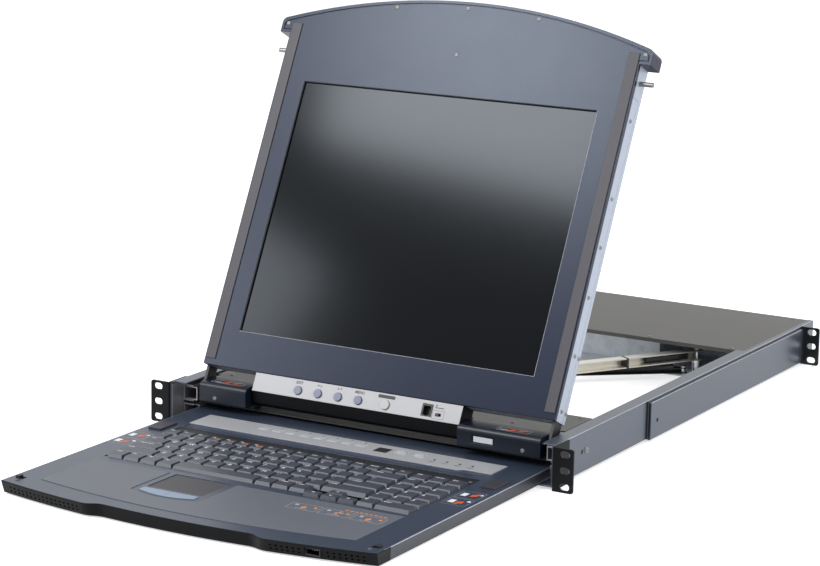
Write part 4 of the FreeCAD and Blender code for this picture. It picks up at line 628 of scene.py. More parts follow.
def screw_head(radius: float, height: float) -> bpy.types.Object:
    """A small socket screw head on the origin, facing down: a disc, bevelled, with a socket.

    Args:
        radius: The radius of the head in metres.
        height: How thick the head is.

    Returns:
        A closed mesh object.
    """
    bevel, socket_wall, socket_depth = height * 0.3, radius * 0.42, height * 0.6
    clear_selection()
    bpy.ops.mesh.primitive_cylinder_add(vertices=24, radius=radius, depth=height,
                                        location=(0, 0, 0))
    item = bpy.context.object
    bpy.ops.object.mode_set(mode="EDIT")
    bpy.ops.mesh.select_all(action="SELECT")
    bpy.ops.mesh.bevel(offset=bevel, segments=2, affect="EDGES")
    bpy.ops.mesh.select_mode(type="FACE")
    bpy.ops.mesh.select_all(action="DESELECT")
    bpy.ops.object.mode_set(mode="OBJECT")
    for face in item.data.polygons:
        face.select = face.normal.z < -0.99 and len(face.vertices) > 12
    bpy.ops.object.mode_set(mode="EDIT")
    bpy.ops.mesh.inset(thickness=socket_wall)
    bpy.ops.transform.translate(value=(0, 0, socket_depth))
    bpy.ops.mesh.select_mode(type="VERT")
    bpy.ops.object.mode_set(mode="OBJECT")
    return item


def ribbed_tube(radius: float, rib: float, length: float, pitch: float) -> bpy.types.Object:
    """A corrugated sleeve along x from the origin: one rib, repeated and welded.

    Args:
        radius: Its outer radius in metres.
        rib: How deep the grooves are.
        length: Its whole length.
        pitch: From rib to rib.

    Returns:
        A closed mesh object.
    """
    clear_selection()
    bpy.ops.mesh.primitive_circle_add(vertices=20, radius=radius - rib,
                                      rotation=(0, math.pi / 2, 0))
    item = bpy.context.object
    choose([item])
    bpy.ops.object.transform_apply(location=True, rotation=True, scale=True)
    bpy.ops.object.mode_set(mode="EDIT")
    bpy.ops.mesh.select_all(action="SELECT")
    swell = radius / (radius - rib)
    for i, growth in enumerate((swell, 1.0, 1 / swell, 1.0)):
        bpy.ops.mesh.extrude_edges_move(TRANSFORM_OT_translate={"value": (pitch / 4, 0, 0)})
        bpy.ops.transform.resize(value=(1, growth, growth),
                                 center_override=((i + 1) * pitch / 4, 0, 0))
    bpy.ops.object.mode_set(mode="OBJECT")
    repeat = item.modifiers.new("ribs", "ARRAY")
    repeat.count = max(1, round(length / pitch))
    repeat.use_merge_vertices = True
    bpy.ops.object.modifier_apply(modifier="ribs")
    bpy.ops.object.mode_set(mode="EDIT")
    bpy.ops.mesh.select_all(action="SELECT")
    bpy.ops.mesh.remove_doubles(threshold=0.01 * MM)
    bpy.ops.mesh.fill_holes(sides=0)
    bpy.ops.mesh.normals_make_consistent(inside=False)
    bpy.ops.object.mode_set(mode="OBJECT")
    return item


def dress_all(finishes: dict[str, Finish]) -> None:
    """Gives each CAD node of one sub-assembly its finish.

    Args:
        finishes: The finish of each node, by the node's name.
    """
    for node, finish in finishes.items():
        mesh = bpy.data.objects[NODES[node]].data
        mesh.materials.clear()
        mesh.materials.append(finish.build())


@dataclass(frozen=True)
class Cap:
    """The flat top of one key, in metres."""

    left: float
    right: float
    front: float
    rear: float


def key_tops(node: str, flat: float = 0.1 * MM, row_gap: float = 5 * MM) -> list[Cap]:
    """Finds the flat top of every key in a node.

    Args:
        node: The CAD node of a group of keys.
        flat: How far a top may lie below the highest one, in metres.
        row_gap: How far apart the rear edges of two rows are at least.

    Returns:
        The tops, from the rear row to the front, each row from left to right.
    """
    mesh = bpy.data.objects[NODES[node]].data
    top = max(vertex.co.z for vertex in mesh.vertices)
    groups: list[tuple[set[Span], list[Vector]]] = []
    for face in mesh.polygons:
        corners = [mesh.vertices[i].co for i in face.vertices]
        if face.normal.z < 0.99 or min(corner.z for corner in corners) < top - flat:
            continue
        marks = {(round(corner.x, 5), round(corner.y, 5)) for corner in corners}
        joined = [group for group in groups if group[0] & marks]
        for group in joined:
            groups.remove(group)
            marks |= group[0]
            corners += group[1]
        groups.append((marks, corners))
    caps = [Cap(min(c.x for c in corners), max(c.x for c in corners),
                min(c.y for c in corners), max(c.y for c in corners))
            for _, corners in groups]
    rows: list[list[Cap]] = []
    for cap in sorted(caps, key=lambda cap: -cap.rear):
        if rows and abs(rows[-1][0].rear - cap.rear) < row_gap:
            rows[-1].append(cap)
        else:
            rows.append([cap])
    return [cap for row in rows for cap in sorted(row, key=lambda cap: cap.left)]


@dataclass
class RackFrame:
    """Rails, ears, rear brackets, the rear box, its cover and the folding cable arms."""

    rail_wall: float = 1.5 * MM
    liner_thickness: float = 0.5 * MM
    liner_start: float = 1 * MM
    liner_end: float = 23.5 * MM
    liner_inset: float = 2 * MM
    lip_height: Span = (-18.4 * MM, 20.8 * MM)
    lip_thickness: float = 1.7 * MM
    lip_length: float = 3.4 * MM
    # Size and reach of the painted highlight lines along the top outer edges of rails and
    # brackets.
    edge_width: float = 1.0 * MM
    edge_depth: float = 0.5 * MM
    edge_proud: float = 0.08 * MM
    edge_lift: float = 0.05 * MM
    edge_round: float = 0.08 * MM
    rail_edge_ends: Span = (4 * MM, 6 * MM)
    bracket_edge_end: float = 600 * MM
    bracket_flange: float = 590 * MM
    sleeve_radius: float = 3.9 * MM
    sleeve_rib: float = 0.6 * MM
    sleeve_pitch: float = 3.2 * MM
    sleeve_start: float = 13 * MM
    sleeve_length: float = 54 * MM
    arm_pivot: Point = (146 * MM, 490 * MM, 3 * MM)
    arm_spread: float = math.radians(32.3)
    tie_at: Span = (92 * MM, 95.2 * MM)
    tie_half: float = 6.3 * MM
    tie_rise: float = 5.8 * MM
    finishes: dict[str, Finish] = field(default_factory=lambda: {
        "rail_left": RAIL_PAINT, "rail_right": RAIL_PAINT, "ear_left": EAR_PAINT,
        "ear_right": EAR_PAINT, "rear_bracket_left": BRACKET_PAINT,
        "rear_bracket_right": BRACKET_PAINT, "rear_base": ZINC, "rear_cover": OLIVE,
        "main_board": BOARD, "rear_connectors": STEEL, "slide_outer_members": SATIN,
        "arm_bracket": STEEL, "frame_screws": SCREW, "lcd_arm_rear_link": ARM_STEEL,
        "lcd_arm_front_link": ARM_STEEL, "keyboard_arm_rear_link": BLACK,
        "keyboard_arm_front_link": ARM_STEEL})

    def build(self) -> None:
        """Dresses the frame's nodes and puts the cable sleeve and its tie on the arm."""
        dress_all(self.finishes)
        self._rail_liners()
        self._sleeve_lips()
        self._painted_edge_highlights()
        self._arm_cable()

    def _rail_liners(self) -> None:
        """The bright plate on the inner face of each rail between its ear and the slides."""
        liners = []
        for rail, side in (("rail_left", 1), ("rail_right", -1)):
            low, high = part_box(rail)
            wall = (high[0] if side < 0 else low[0]) + side * self.rail_wall
            liners.append(plate(between(wall, wall + side * self.liner_thickness),
                                (low[1] + self.liner_start, self.liner_end),
                                (low[2] + self.liner_inset, high[2] - self.liner_inset),
                                0.15 * MM))
        Place("frame", "navy_paint", SATIN).hold("rail_liners", liners)

    def _sleeve_lips(self) -> None:
        """The dark folded lip at the front end of each rear bracket, where it meets its rail."""
        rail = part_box("rail_right")[1][0]
        for body, side in (("rear_bracket_left", -1), ("rear_bracket_right", 1)):
            low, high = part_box(body)
            height = max(low[2], self.lip_height[0]), min(high[2], self.lip_height[1])
            lip = plate(between(side * rail, side * (rail + self.lip_thickness)),
                        (low[1] - self.lip_length, low[1] + 0.1 * MM), height, 0.5 * MM)
            Place(body, "navy_paint", BLACK).hold(body + "_lip", [lip])

    def _painted_edge_highlights(self) -> None:
        """A painted highlight along the top outer edge of each rail and rear bracket: a bright
        line for the light its rounded bend catches.
        """
        for side, name in ((-1, "left"), (1, "right")):
            low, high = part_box("rail_" + name)
            outer = high[0] if side > 0 else low[0]
            first, last = self.rail_edge_ends
            self._painted_highlight_line("frame", f"rail_{name}_edge", side, outer,
                            (low[1] + first, high[1] - last), high[2])
            bracket = "rear_bracket_" + name
            mesh = bpy.data.objects[NODES[bracket]].data
            sleeve = [v.co for v in mesh.vertices if v.co.y < self.bracket_flange]
            outer = max(co.x * side for co in sleeve) * side
            self._painted_highlight_line(bracket, bracket + "_edge", side, outer,
                            (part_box(bracket)[0][1] + 1 * MM, self.bracket_edge_end),
                            max(co.z for co in sleeve))

    def _painted_highlight_line(self, body: str, name: str, side: int, outer: float, y: Span,
                   top: float) -> None:
        """One painted highlight line along a top outer edge.

        Args:
            body: The body that it rides on.
            name: The piece's name.
            side: -1 on the left and 1 on the right.
            outer: The outer face's place across, in metres.
            y: Its front and rear ends.
            top: The height of the edge.
        """
        line = plate(between(outer - side * self.edge_width, outer + side * self.edge_proud), y,
                     (top - self.edge_depth, top + self.edge_lift), self.edge_round)
        Place(body, "navy_paint", PAINTED_HIGHLIGHT).hold(name, [line])

    def _on_arm(self, item: bpy.types.Object) -> bpy.types.Object:
        """Turns an item laid along x from the pivot into the upper rear link.

        Args:
            item: The object, laid along x from the origin.

        Returns:
            The same object in its place.
        """
        turn = Matrix.Rotation(-math.pi / 2 - self.arm_spread, 4, "Z")
        item.matrix_world = Matrix.Translation(self.arm_pivot) @ turn @ item.matrix_world
        return item

    def _arm_cable(self) -> None:
        """The ribbed cable sleeve inside the upper rear link and the tie about it."""
        black = Place("lcd_arm_rear_link", "black_plastic", BLACK)
        tube = ribbed_tube(self.sleeve_radius, self.sleeve_rib, self.sleeve_length,
                           self.sleeve_pitch)
        tube.location.x = self.sleeve_start
        bpy.context.view_layer.update()
        black.hold("arm_cable_sleeve", [self._on_arm(tube)])
        tie = plate(self.tie_at, (-self.tie_half, self.tie_half), (-self.tie_rise, self.tie_rise),
                    0.6 * MM)
        black.hold("arm_cable_tie", [self._on_arm(tie)])


@dataclass(frozen=True)
class LabelPlan:
    """The four small deck labels; the marks inside are shares of a label's width and depth."""

    lefts: Span = (-201 * MM, 173 * MM)
    fronts: Span = (-107 * MM, -131 * MM)
    turns: Span = (150.0, -30.0)
    width: float = 24 * MM
    depth: float = 22 * MM
    line: float = 0.35 * MM
    arrow: Point = (0.62, 0.5, 0.62)
    block: Field = ((0.12, 0.36), (0.3, 0.72))
    dot: Point = (0.86, 0.74, 0.09)


@dataclass(frozen=True)
class GuidePlan:
    """The pictograms on the palm rest; the marks inside are metres from a frame's corner."""

    left: float = 62 * MM
    front: float = -221 * MM
    pitch: float = 34 * MM
    frame: Field = ((0.0, 31 * MM), (0.0, 17 * MM))
    line: float = 0.45 * MM
    turns: tuple[float, ...] = (-14.0, 118.0, -14.0)
    dot: Point = (6 * MM, 12.4 * MM, 2.1 * MM)
    dash: Field = ((9 * MM, 22 * MM), (2.6 * MM, 3.4 * MM))
    arrow: Point = (16 * MM, 8.5 * MM, 11 * MM)
    block: Field = ((25 * MM, 28 * MM), (9 * MM, 13 * MM))
    divider: Field = ((51 * MM, 52.2 * MM), (2 * MM, 15 * MM))
    heading: Field = ((52 * MM, 55.6 * MM), (20 * MM, 22 * MM))
    heading_count: int = 9
    heading_pitch: float = 5 * MM


@dataclass(frozen=True)
class StripPlan:
    """The print on the status strip, in metres."""

    port_count: int = 8
    port_first: float = -98.5 * MM
    port_pitch: float = 16.07 * MM
    port_ring: Field = ((-5.3 * MM, 5.3 * MM), (-12 * MM, -3 * MM))
    port_line: float = 0.55 * MM
    number_rear: float = 3.4 * MM
    number_size: float = 4 * MM
    mode_count: int = 2
    mode_pitch: float = 20.3 * MM
    mode_ring: Field = ((53.6 * MM, 65.4 * MM), (-12.6 * MM, -2.4 * MM))
    mode_line: float = 0.5 * MM
    lamp_count: int = 4
    lamp_first: float = 99.5 * MM
    lamp_pitch: float = 13.9 * MM
    lamp_dashes: tuple[Field, Field] = (((-3.6 * MM, 3.6 * MM), (-18.4 * MM, -17.9 * MM)),
                                        ((-2.2 * MM, 2.2 * MM), (-20 * MM, -19.5 * MM)))


@dataclass
class KeyboardDrawer:
    """Deck, handle, keyboard, touchpad and status strip, with all that is printed on them."""

    deck_level: float = -7.76 * MM
    film_level: float = -7.36 * MM
    strip_level: float = -6.96 * MM
    key_level: float = -5.27 * MM
    letter_size: float = 6.2 * MM
    word_size: float = 3.7 * MM
    legend_inset: float = 1.2 * MM
    second_legend: Field = ((5.2 * MM, 11.4 * MM), (-7.6 * MM, -4.2 * MM))
    second_line: float = 0.9 * MM
    second_keys: tuple[int, int] = (3, 7)
    labels: LabelPlan = LabelPlan()
    guide: GuidePlan = GuidePlan()
    strip: StripPlan = StripPlan()
    # Where the painted highlight lines along the deck's sides lie.
    highlight_start: float = 30 * MM
    highlight_span: Span = (-0.3 * MM, 0.4 * MM)
    highlight_height: Span = (-0.9 * MM, 0.1 * MM)
    contact_count: int = 4
    contact_pitch: float = 2.4 * MM
    contact_first: Span = (-4.2 * MM, -3.0 * MM)
    contact_depth: Span = (5.4 * MM, 9 * MM)
    contact_height: Span = (-0.1 * MM, 0.3 * MM)
    rows: dict[str, list[str]] = field(default_factory=lambda: {
        "keys_upper_rows": ["Esc"] + [f"F{i}" for i in range(1, 13)]
        + ["PrtSc", "ScrLk", "Pause", "Ins"]
        + ["~\n`", "!\n1", "@\n2", "#\n3", "$\n4", "%\n5", "^\n6", "&\n7", "*\n8", "(\n9",
           ")\n0", "_\n-", "+\n=", "< Bksp"],
        "keys_letter_rows": ["Tab"] + list("QWERTYUIOP") + ["{\n[", "}\n]", "|\n\\"]
        + ["Caps Lock"] + list("ASDFGHJKL") + [":\n;", '"\n\'', "< Enter"]
        + ["Shift"] + list("ZXCVBNM") + ["<\n,", ">\n.", "?\n/", "Shift"],
        "keys_bottom_row": ["Ctrl", "Fn", "Sys", "Alt", "Alt", "Menu", "Ctrl"],
        "keys_side_block": ["Del", "Home", "End", "Num", "/", "*", "7", "8", "9", "4", "5",
                            "6", "1", "2", "3", "0", "Enter"]})
    arrow_legends: str = "^<v>"
    finishes: dict[str, Finish] = field(default_factory=lambda: {
        "drawer_tray": TRAY_PAINT, "drawer_deck": NAVY, "drawer_handle": HANDLE_PAINT,
        "palm_rest": FILM, "keyboard_frame": BLACK, "touchpad": PAD, "status_strip": STATUS,
        "indicators": BLACK, "deck_pads": RUBBER, "usb_port": BLACK, "drawer_slides": SATIN,
        "drawer_screws": DULL_SCREW, "keys_upper_rows": KEYS, "keys_letter_rows": KEYS,
        "keys_bottom_row": KEYS, "space_bar": KEYS, "keys_side_block": KEYS,
        "touchpad_button_left": PALE_BLUE, "touchpad_button_right": PALE_BLUE,
        "release_catch_left": BLACK, "release_catch_right": BLACK, "deck_buttons": PORT_KEYS})

    def build(self) -> None:
        """Dresses the drawer's nodes and prints the keys, labels and strip."""
        dress_all(self.finishes)
        self._key_legends()
        self._side_labels()
        self._fold_guide()
        self._strip_print()
        self._painted_deck_highlights()
        self._socket_contacts()

    def _legend(self, cap: Cap, text: str) -> bpy.types.Object:
        """One legend at the rear left of a key's top.

        Args:
            cap: The key's top.
            text: What is printed on it.

        Returns:
            A mesh object.
        """
        size = self.letter_size if len(text) == 1 else self.word_size
        return words(text, cap.left + self.legend_inset, cap.rear - self.legend_inset * 0.7,
                     self.key_level, size)

    def _key_legends(self) -> None:
        """The white legends, one piece for each group of keys."""
        for node, legends in self.rows.items():
            caps = key_tops(node)
            marks = []
            if node == "keys_side_block":
                caps, arrows = self._part_side_block(caps)
                marks = [words(text, (cap.left + cap.right) / 2, cap.rear - self.legend_inset,
                               self.key_level, self.letter_size, True)
                         for cap, text in zip(arrows, self.arrow_legends)]
            if len(caps) != len(legends):
                LOG.warning("%s has %d keys and %d legends", node, len(caps), len(legends))
            marks += [self._legend(cap, text) for cap, text in zip(caps, legends)]
            Place(node, "key_plastic", WHITE).hold(node + "_legends", marks)
        self._function_marks()

    def _part_side_block(self, caps: list[Cap]) -> tuple[list[Cap], list[Cap]]:
        """Parts the side block's keys into the number pad and the four arrows left of it.

        Args:
            caps: The tops of all its keys.

        Returns:
            The pad's keys and the arrow keys, each from the rear to the front.
        """
        pad_left = sorted(cap.left for cap in caps)[len(self.arrow_legends)]
        arrows = sorted((cap for cap in caps if cap.left < pad_left),
                        key=lambda cap: (-round(cap.rear, 3), cap.left))
        return [cap for cap in caps if cap.left >= pad_left], arrows

    def _function_marks(self) -> None:
        """Short second legends on four of the function keys."""
        across, along = self.second_legend
        marks = [outline_mark(shifted(across, cap.left), shifted(along, cap.rear),
                              self.key_level, self.second_line)
                 for cap in key_tops("keys_upper_rows")[slice(*self.second_keys)]]
        Place("keys_upper_rows", "key_plastic", AMBER).hold("second_legends", marks)

    def _side_labels(self) -> None:
        """The two pairs of small labels at the ends of the keyboard."""
        plan, level = self.labels, self.deck_level
        width, depth = plan.width, plan.depth
        lines, orange, white = [], [], []
        for left in plan.lefts:
            for front, turn in zip(plan.fronts, plan.turns):
                lines.append(outline_mark((left, left + width), (front, front + depth), level,
                                          plan.line))
                orange.append(arrow_mark(left + width * plan.arrow[0],
                                         front + depth * plan.arrow[1], level,
                                         depth * plan.arrow[2], turn))
                (block_left, block_right), (block_front, block_rear) = plan.block
                white.append(patch((left + width * block_left, left + width * block_right),
                                   (front + depth * block_front, front + depth * block_rear),
                                   level))
                white.append(dot_mark(left + width * plan.dot[0], front + depth * plan.dot[1],
                                      level, depth * plan.dot[2]))
        for colour, finish, marks in (("lines", LINE, lines), ("orange", ORANGE, orange),
                                      ("white", WHITE, white)):
            Place("keyboard_drawer", "navy_paint", finish).hold("deck_label_" + colour, marks)

    def _fold_guide(self) -> None:
        """Three framed pictograms on the right of the palm rest, with a dashed heading."""
        plan, level, front = self.guide, self.film_level, self.guide.front

        def piece(area: Field, left: float) -> bpy.types.Object:
            """A flat field whose limits are counted from a frame's corner."""
            return patch(shifted(area[0], left), shifted(area[1], front), level)

        pale, amber = [], []
        for i, turn in enumerate(plan.turns):
            left = plan.left + i * plan.pitch
            pale.append(outline_mark(shifted(plan.frame[0], left), shifted(plan.frame[1], front),
                                     level, plan.line))
            pale.append(dot_mark(left + plan.dot[0], front + plan.dot[1], level, plan.dot[2]))
            pale.append(piece(plan.dash, left))
            amber.append(arrow_mark(left + plan.arrow[0], front + plan.arrow[1], level,
                                    plan.arrow[2], turn))
            amber.append(piece(plan.block, left))
        pale.append(piece(plan.divider, plan.left))
        amber += [piece(plan.heading, plan.left + i * plan.heading_pitch)
                  for i in range(plan.heading_count)]
        Place("keyboard_drawer", "palm_film", LINE).hold("fold_guide_lines", pale)
        Place("keyboard_drawer", "palm_film", AMBER).hold("fold_guide_arrows", amber)

    def _strip_print(self) -> None:
        """Numbers over the port buttons, rings about the buttons and dashes at the lamps."""
        plan, level = self.strip, self.strip_level
        ports = [plan.port_first + i * plan.port_pitch for i in range(plan.port_count)]
        marks = [words(str(i + 1), at, plan.number_rear, level, plan.number_size, True)
                 for i, at in enumerate(ports)]
        rings = [outline_mark(shifted(plan.port_ring[0], at), plan.port_ring[1], level,
                              plan.port_line) for at in ports]
        rings += [outline_mark(shifted(plan.mode_ring[0], i * plan.mode_pitch),
                               plan.mode_ring[1], level, plan.mode_line)
                  for i in range(plan.mode_count)]
        Place("keyboard_drawer", "silver_strip", WHITE).hold("strip_rings", rings)
        for i in range(plan.lamp_count):
            at = plan.lamp_first + i * plan.lamp_pitch
            marks += [patch(shifted(across, at), along, level)
                      for across, along in plan.lamp_dashes]
        Place("keyboard_drawer", "silver_strip", INK).hold("strip_print", marks)

    def _painted_deck_highlights(self) -> None:
        """A painted highlight along both sides of the deck: a bright line for the light the
        sheet's rounded edge catches.
        """
        low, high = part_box("drawer_deck")
        edges = [plate(shifted(self.highlight_span, side * high[0]),
                       (low[1] + self.highlight_start, high[1]),
                       shifted(self.highlight_height, high[2]), 0.2 * MM) for side in (-1, 1)]
        Place("keyboard_drawer", "navy_paint", PAINTED_HIGHLIGHT).hold("deck_edge_highlight", edges)

    def _socket_contacts(self) -> None:
        """Four bright contacts on the tongue of the front socket."""
        low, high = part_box("usb_port")
        middle, tongue = (low[0] + high[0]) / 2, (low[2] + high[2]) / 2
        contacts = [plate(shifted(self.contact_first, middle + i * self.contact_pitch),
                          shifted(self.contact_depth, low[1]),
                          shifted(self.contact_height, tongue), 0.05 * MM)
                    for i in range(self.contact_count)]
        Place("keyboard_drawer", "connector", STEEL).hold("socket_contacts", contacts)


@dataclass
class ScreenCarriage:
    """The sliding carriage with its hinge housings, their labels and the receiver window."""

    housing_top: float = 21.54 * MM
    pane_across: Span = (122.8 * MM, 144.0 * MM)
    pane_along: Span = (20.6 * MM, 21.5 * MM)
    pane_height: Span = (7.1 * MM, 12.7 * MM)
    labels: Field = ((144 * MM, 178 * MM), (-186 * MM, -150 * MM))
    label_along: Span = (27 * MM, 38 * MM)
    label_line: float = 0.35 * MM
    dash_across: Span = (3 * MM, 11 * MM)
    dash_width: float = 0.6 * MM
    dashes: Span = (0.16, 0.3)
    arrows: Field = ((0.5, -50.0), (0.72, 130.0))
    arrow_length: float = 11 * MM
    finishes: dict[str, Finish] = field(default_factory=lambda: {
        "carriage_base": DARK_SHEET, "carriage_cover": OLIVE, "hinge_block_left": HOUSING_PAINT,
        "hinge_block_right": HOUSING_PAINT, "hinge_pins": STEEL, "carriage_slides": SATIN,
        "carriage_screws": SCREW})

    def build(self) -> None:
        """Dresses the carriage's nodes and adds the window's plate and the labels."""
        dress_all(self.finishes)
        self._window_plate()
        self._labels()

    def _window_plate(self) -> None:
        """The pale plate of the receiver window, set in its dark recess."""
        pane = plate(self.pane_across, self.pane_along, self.pane_height, 0.3 * MM)
        Place("lcd_carriage", "silver_strip", PANE).hold("receiver_pane", [pane])

    def _labels(self) -> None:
        """A framed label with two dashes and two orange arrows on each hinge housing."""
        level, (front, rear) = self.housing_top, self.label_along
        depth = rear - front
        lines, arrows = [], []
        for left, right in self.labels:
            lines.append(outline_mark((left, right), (front, rear), level, self.label_line))
            for share in self.dashes:
                at = front + depth * share
                lines.append(patch(shifted(self.dash_across, left), (at, at + self.dash_width),
                                   level))
            for share, turn in self.arrows:
                arrows.append(arrow_mark(left + (right - left) * share, front + depth / 2,
                                         level, self.arrow_length, turn))
        Place("lcd_carriage", "navy_paint", WHITE).hold("housing_label_lines", lines)
        Place("lcd_carriage", "navy_paint", ORANGE).hold("housing_label_arrows", arrows)


@dataclass
class ScreenUnit:
    """The tilting screen unit with its handle and control strip.

    Its pieces are laid out flat, with x across, y up the screen from the hinge axis and z
    out of its face, and lean back when they are finished.
    """

    face: float = 14.2 * MM
    screen_half: float = 169.7 * MM
    screen_foot: float = 59.8 * MM
    screen_height: float = 271.5 * MM
    rim: float = 0.9 * MM
    rim_wall: float = 0.3 * MM
    # Width of the painted highlight lines at the screen's foot and right side.
    highlight_width: float = 0.4 * MM
    print_lift: float = 0.03 * MM
    buttons: dict[str, float] = field(default_factory=lambda: {
        "EXIT": -83.9 * MM, "< v": -60.45 * MM, "> ^": -37.0 * MM, "MENU": -13.55 * MM})
    name_rear: float = 18.8 * MM
    name_size: float = 4.0 * MM
    plate_field: Field = ((7.9 * MM, 26.9 * MM), (15.6 * MM, 18.8 * MM))
    plate_thickness: float = 0.15 * MM
    switch_at: float = 77.7 * MM
    switch_frame: Field = ((-6.5 * MM, 6.5 * MM), (3.4 * MM, 12.2 * MM))
    switch_line: float = 0.3 * MM
    switch_dash: Field = ((-5 * MM, 5 * MM), (14.2 * MM, 15.0 * MM))
    switch_arrow: Point = (-3.5 * MM, 17.2 * MM, 3.2 * MM)
    back_screw: Span = (2.6 * MM, 0.7 * MM)
    back_margin: Span = (9 * MM, 12 * MM)
    finishes: dict[str, Finish] = field(default_factory=lambda: {
        "lcd_bezel": BEZEL, "lcd_screen": GLASS, "lcd_back_shell": SHELL,
        "rubber_strips": RUBBER, "hinge_arms": BLACK, "chin_housing": EAR_PAINT,
        "chin_face": SILVER, "service_jack": BLACK, "lcd_screws": SCREW,
        "menu_buttons": BUTTON, "power_button": PALE_BUTTON, "mode_switch": BLACK,
        "lock_pin_left": PIN, "lock_pin_right": PIN})

    def build(self) -> None:
        """Dresses the screen unit's nodes and adds its rim and the strip's print."""
        dress_all(self.finishes)
        self._screen_rim()
        self._back_screws()
        self._strip_names()

    def _screen_rim(self) -> None:
        """The dark sloped rim round the screen, its colour a painted shade line at the screen's
        edge, and painted highlight lines at its foot and right side for the light a chamfer
        catches there.
        """
        reach, up = self.screen_half, (self.screen_foot, self.screen_foot + self.screen_height)
        item = patch((-reach, reach), up, self.face + 0.02 * MM)
        bpy.ops.object.mode_set(mode="EDIT")
        bpy.ops.mesh.select_all(action="SELECT")
        bpy.ops.mesh.inset(thickness=self.rim)
        bpy.ops.transform.translate(value=(0, 0, -self.rim))
        bpy.ops.mesh.delete(type="ONLY_FACE")
        bpy.ops.object.mode_set(mode="OBJECT")
        wall = item.modifiers.new("wall", "SOLIDIFY")
        wall.thickness = self.rim_wall
        bpy.ops.object.modifier_apply(modifier="wall")
        Place("lcd_panel", "rubber", SCREEN_EDGE_SHADE, True).hold("screen_rim_shade", [item])
        depth = (self.face - self.rim, self.face + 0.05 * MM)
        side = plate((reach - self.highlight_width, reach), up, depth, 0.1 * MM)
        foot = plate((-reach, reach), (up[0], up[0] + self.highlight_width), depth, 0.1 * MM)
        Place("lcd_panel", "silver_strip", PAINTED_HIGHLIGHT, True).hold("screen_edge_highlight", [side, foot])

    def _back_screws(self) -> None:
        """Socket screws round the back sheet, modelled once and copied."""
        shell = bpy.data.objects[NODES["lcd_back_shell"]].data
        flat = [TILT.inverted() @ vertex.co for vertex in shell.vertices]
        back, reach = min(p.z for p in flat), max(p.x for p in flat) - self.back_margin[0]
        low = min(p.y for p in flat) + self.back_margin[1]
        high = max(p.y for p in flat) - self.back_margin[1]
        middle = (low + high) / 2
        first = screw_head(*self.back_screw)
        heads = []
        for x, y in ((-reach, low), (0, low), (reach, low), (-reach, middle), (reach, middle),
                     (-reach, high), (0, high), (reach, high)):
            head = first.copy()
            head.data = first.data.copy()
            head.location = (x, y, back)
            bpy.context.collection.objects.link(head)
            heads.append(head)
        bpy.data.objects.remove(first)
        bpy.context.view_layer.update()
        Place("lcd_panel", "screw", SCREW, True).hold("back_sheet_screws", heads)

    def _strip_names(self) -> None:
        """Names over the buttons, a bare dark plate over the last and a frame at the switch."""
        level, at = self.face + self.print_lift, self.switch_at
        marks = [words(name, middle, self.name_rear, level, self.name_size, True, 0.03)
                 for name, middle in self.buttons.items()]
        marks.append(outline_mark(shifted(self.switch_frame[0], at), self.switch_frame[1],
                                  level, self.switch_line))
        marks.append(patch(shifted(self.switch_dash[0], at), self.switch_dash[1], level))
        across, up, length = self.switch_arrow
        marks.append(arrow_mark(at + across, up, level, length, 0))
        Place("lcd_panel", "silver_strip", INK, True).hold("strip_names", marks)
        bar = plate(*self.plate_field, (self.face, self.face + self.plate_thickness), 0.05 * MM)
        Place("lcd_panel", "black_plastic", BLACK, True).hold("strip_plate", [bar])


def plain_view(tree: bpy.types.NodeTree) -> bpy.types.NodeSocket:
    """Finds the rays that see the plain surround.

    Args:
        tree: The node tree that asks.

    Returns:
        One for rays from the camera and off gloss or through glass, and zero for others.
    """
    path = tree.nodes.new("ShaderNodeLightPath")
    total = path.outputs["Is Camera Ray"]
    for kind in ("Is Glossy Ray", "Is Transmission Ray"):
        step = tree.nodes.new("ShaderNodeMath")
        step.operation = "MAXIMUM"
        tree.links.new(total, step.inputs[0])
        tree.links.new(path.outputs[kind], step.inputs[1])
        total = step.outputs["Value"]
    return total


@dataclass(frozen=True)
class Lamp:
    """One square soft lamp: where it stands, what it faces and how it is rolled, in degrees."""

    name: str
    spot: Point
    aim: Point
    size: float
    power: float
    roll: float = 0.0

    def build(self) -> None:
        """Sets the lamp up."""
        data = bpy.data.lights.new(self.name, "AREA")
        data.size = self.size
        data.energy = self.power
        lamp = bpy.data.objects.new(self.name, data)
        bpy.context.collection.objects.link(lamp)
        lamp.location = self.spot
        turn = (Vector(self.aim) - Vector(self.spot)).to_track_quat("-Z", "Y").to_matrix()
        lamp.rotation_euler = (turn @ Matrix.Rotation(math.radians(self.roll), 3, "Z")).to_euler()


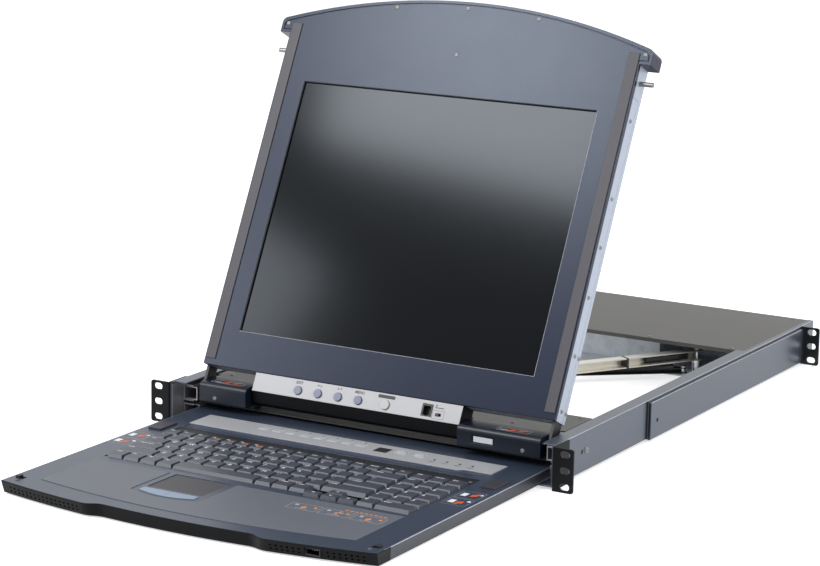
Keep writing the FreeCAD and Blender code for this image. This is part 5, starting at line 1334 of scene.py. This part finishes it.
@dataclass
class Studio:
    """Floor, lights, world and camera: a key lamp, a card below it, a fill and one behind."""

    floor_level: float = -21.6 * MM
    floor_size: float = 24.0
    floor_grey: float = 0.9
    glow: float = 0.55
    glow_colour: Colour = (0.92, 0.95, 1.0)
    eye: Point = (1.35816, -2.25233, 0.71895)
    right: Point = (0.8644842, 0.5023283, 0.01825799)
    up: Point = (-0.12115935, 0.17298284, 0.9774443)
    back: Point = (0.48783961, -0.84719727, 0.2104027)
    lens: float = 122.02
    lamps: tuple[Lamp, ...] = (
        Lamp("key lamp", (-1.316, -1.617, 2.204), (0, 0.13, 0.15), 0.66, 36, 16),
        Lamp("side card", (-1.911, -1.781, 1.451), (0, 0.13, 0.15), 0.6, 14),
        Lamp("fill lamp", (2.6, -0.6, 1.2), (0, 0.1, 0.15), 1.8, 32),
        Lamp("back lamp", (0.75, 2.6, 1.6), (0, 0.3, 0.1), 1.0, 24))

    def build(self) -> None:
        """Sets up the whole studio."""
        bpy.context.scene.view_settings.view_transform = "Standard"
        self._floor()
        self._world()
        for lamp in self.lamps:
            lamp.build()
        self._camera()

    def _floor(self) -> None:
        """A wide pale floor that looks white to the camera but keeps the shadow."""
        bpy.ops.mesh.primitive_plane_add(size=self.floor_size, location=(0, 0, self.floor_level))
        floor = bpy.context.object
        floor.name = "studio_floor"
        material = bpy.data.materials.new("pale floor")
        sheet = NodeSheet(material)
        sheet.shader.inputs["Base Color"].default_value = (*[self.floor_grey] * 3, 1)
        sheet.shader.inputs["Roughness"].default_value = 0.9
        glow = sheet.add("Emission", Strength=self.glow)
        glow.inputs["Color"].default_value = (1, 1, 1, 1)
        total = sheet.add("AddShader")
        sheet.wire(sheet.shader.outputs["BSDF"], total.inputs[0])
        sheet.wire(glow.outputs["Emission"], total.inputs[1])
        seen = sheet.add("MixShader")
        sheet.wire(plain_view(sheet.tree), seen.inputs["Fac"])
        sheet.wire(sheet.shader.outputs["BSDF"], seen.inputs[1])
        sheet.wire(total.outputs["Shader"], seen.inputs[2])
        sheet.wire(seen.outputs["Shader"], sheet.output.inputs["Surface"])
        floor.data.materials.append(material)

    def _world(self) -> None:
        """A white surround at full strength for the camera and softer for the light."""
        world = bpy.data.worlds.new("studio world")
        bpy.context.scene.world = world
        world.use_nodes = True
        tree = world.node_tree
        tree.nodes.clear()
        output = tree.nodes.new("ShaderNodeOutputWorld")
        mix = tree.nodes.new("ShaderNodeMixShader")
        tree.links.new(plain_view(tree), mix.inputs["Fac"])
        for slot, colour, strength in ((1, self.glow_colour, self.glow), (2, (1, 1, 1), 1.0)):
            light = tree.nodes.new("ShaderNodeBackground")
            light.inputs["Color"].default_value = (*colour, 1)
            light.inputs["Strength"].default_value = strength
            tree.links.new(light.outputs["Background"], mix.inputs[slot])
        tree.links.new(mix.outputs["Shader"], output.inputs["Surface"])

    def _camera(self) -> None:
        """The camera at the photograph's viewing angle."""
        data = bpy.data.cameras.new("camera")
        data.lens = self.lens
        data.sensor_width = 36
        camera = bpy.data.objects.new("camera", data)
        bpy.context.collection.objects.link(camera)
        axes = Matrix((self.right, self.up, self.back)).transposed().to_4x4()
        camera.matrix_world = Matrix.Translation(self.eye) @ axes
        bpy.context.scene.camera = camera


def main() -> None:
    """Builds every sub-assembly in order and reports it."""
    logging.basicConfig(level=logging.INFO, format="%(name)s: %(message)s")
    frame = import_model()
    NODES.update({name: item.name for name, item in frame["nodes"].items()})
    clear_selection()
    for part in (RackFrame(), KeyboardDrawer(), ScreenCarriage(), ScreenUnit(), Studio()):
        part.build()
        LOG.info("built %s", type(part).__name__)


if __name__ == "__main__":
    main()
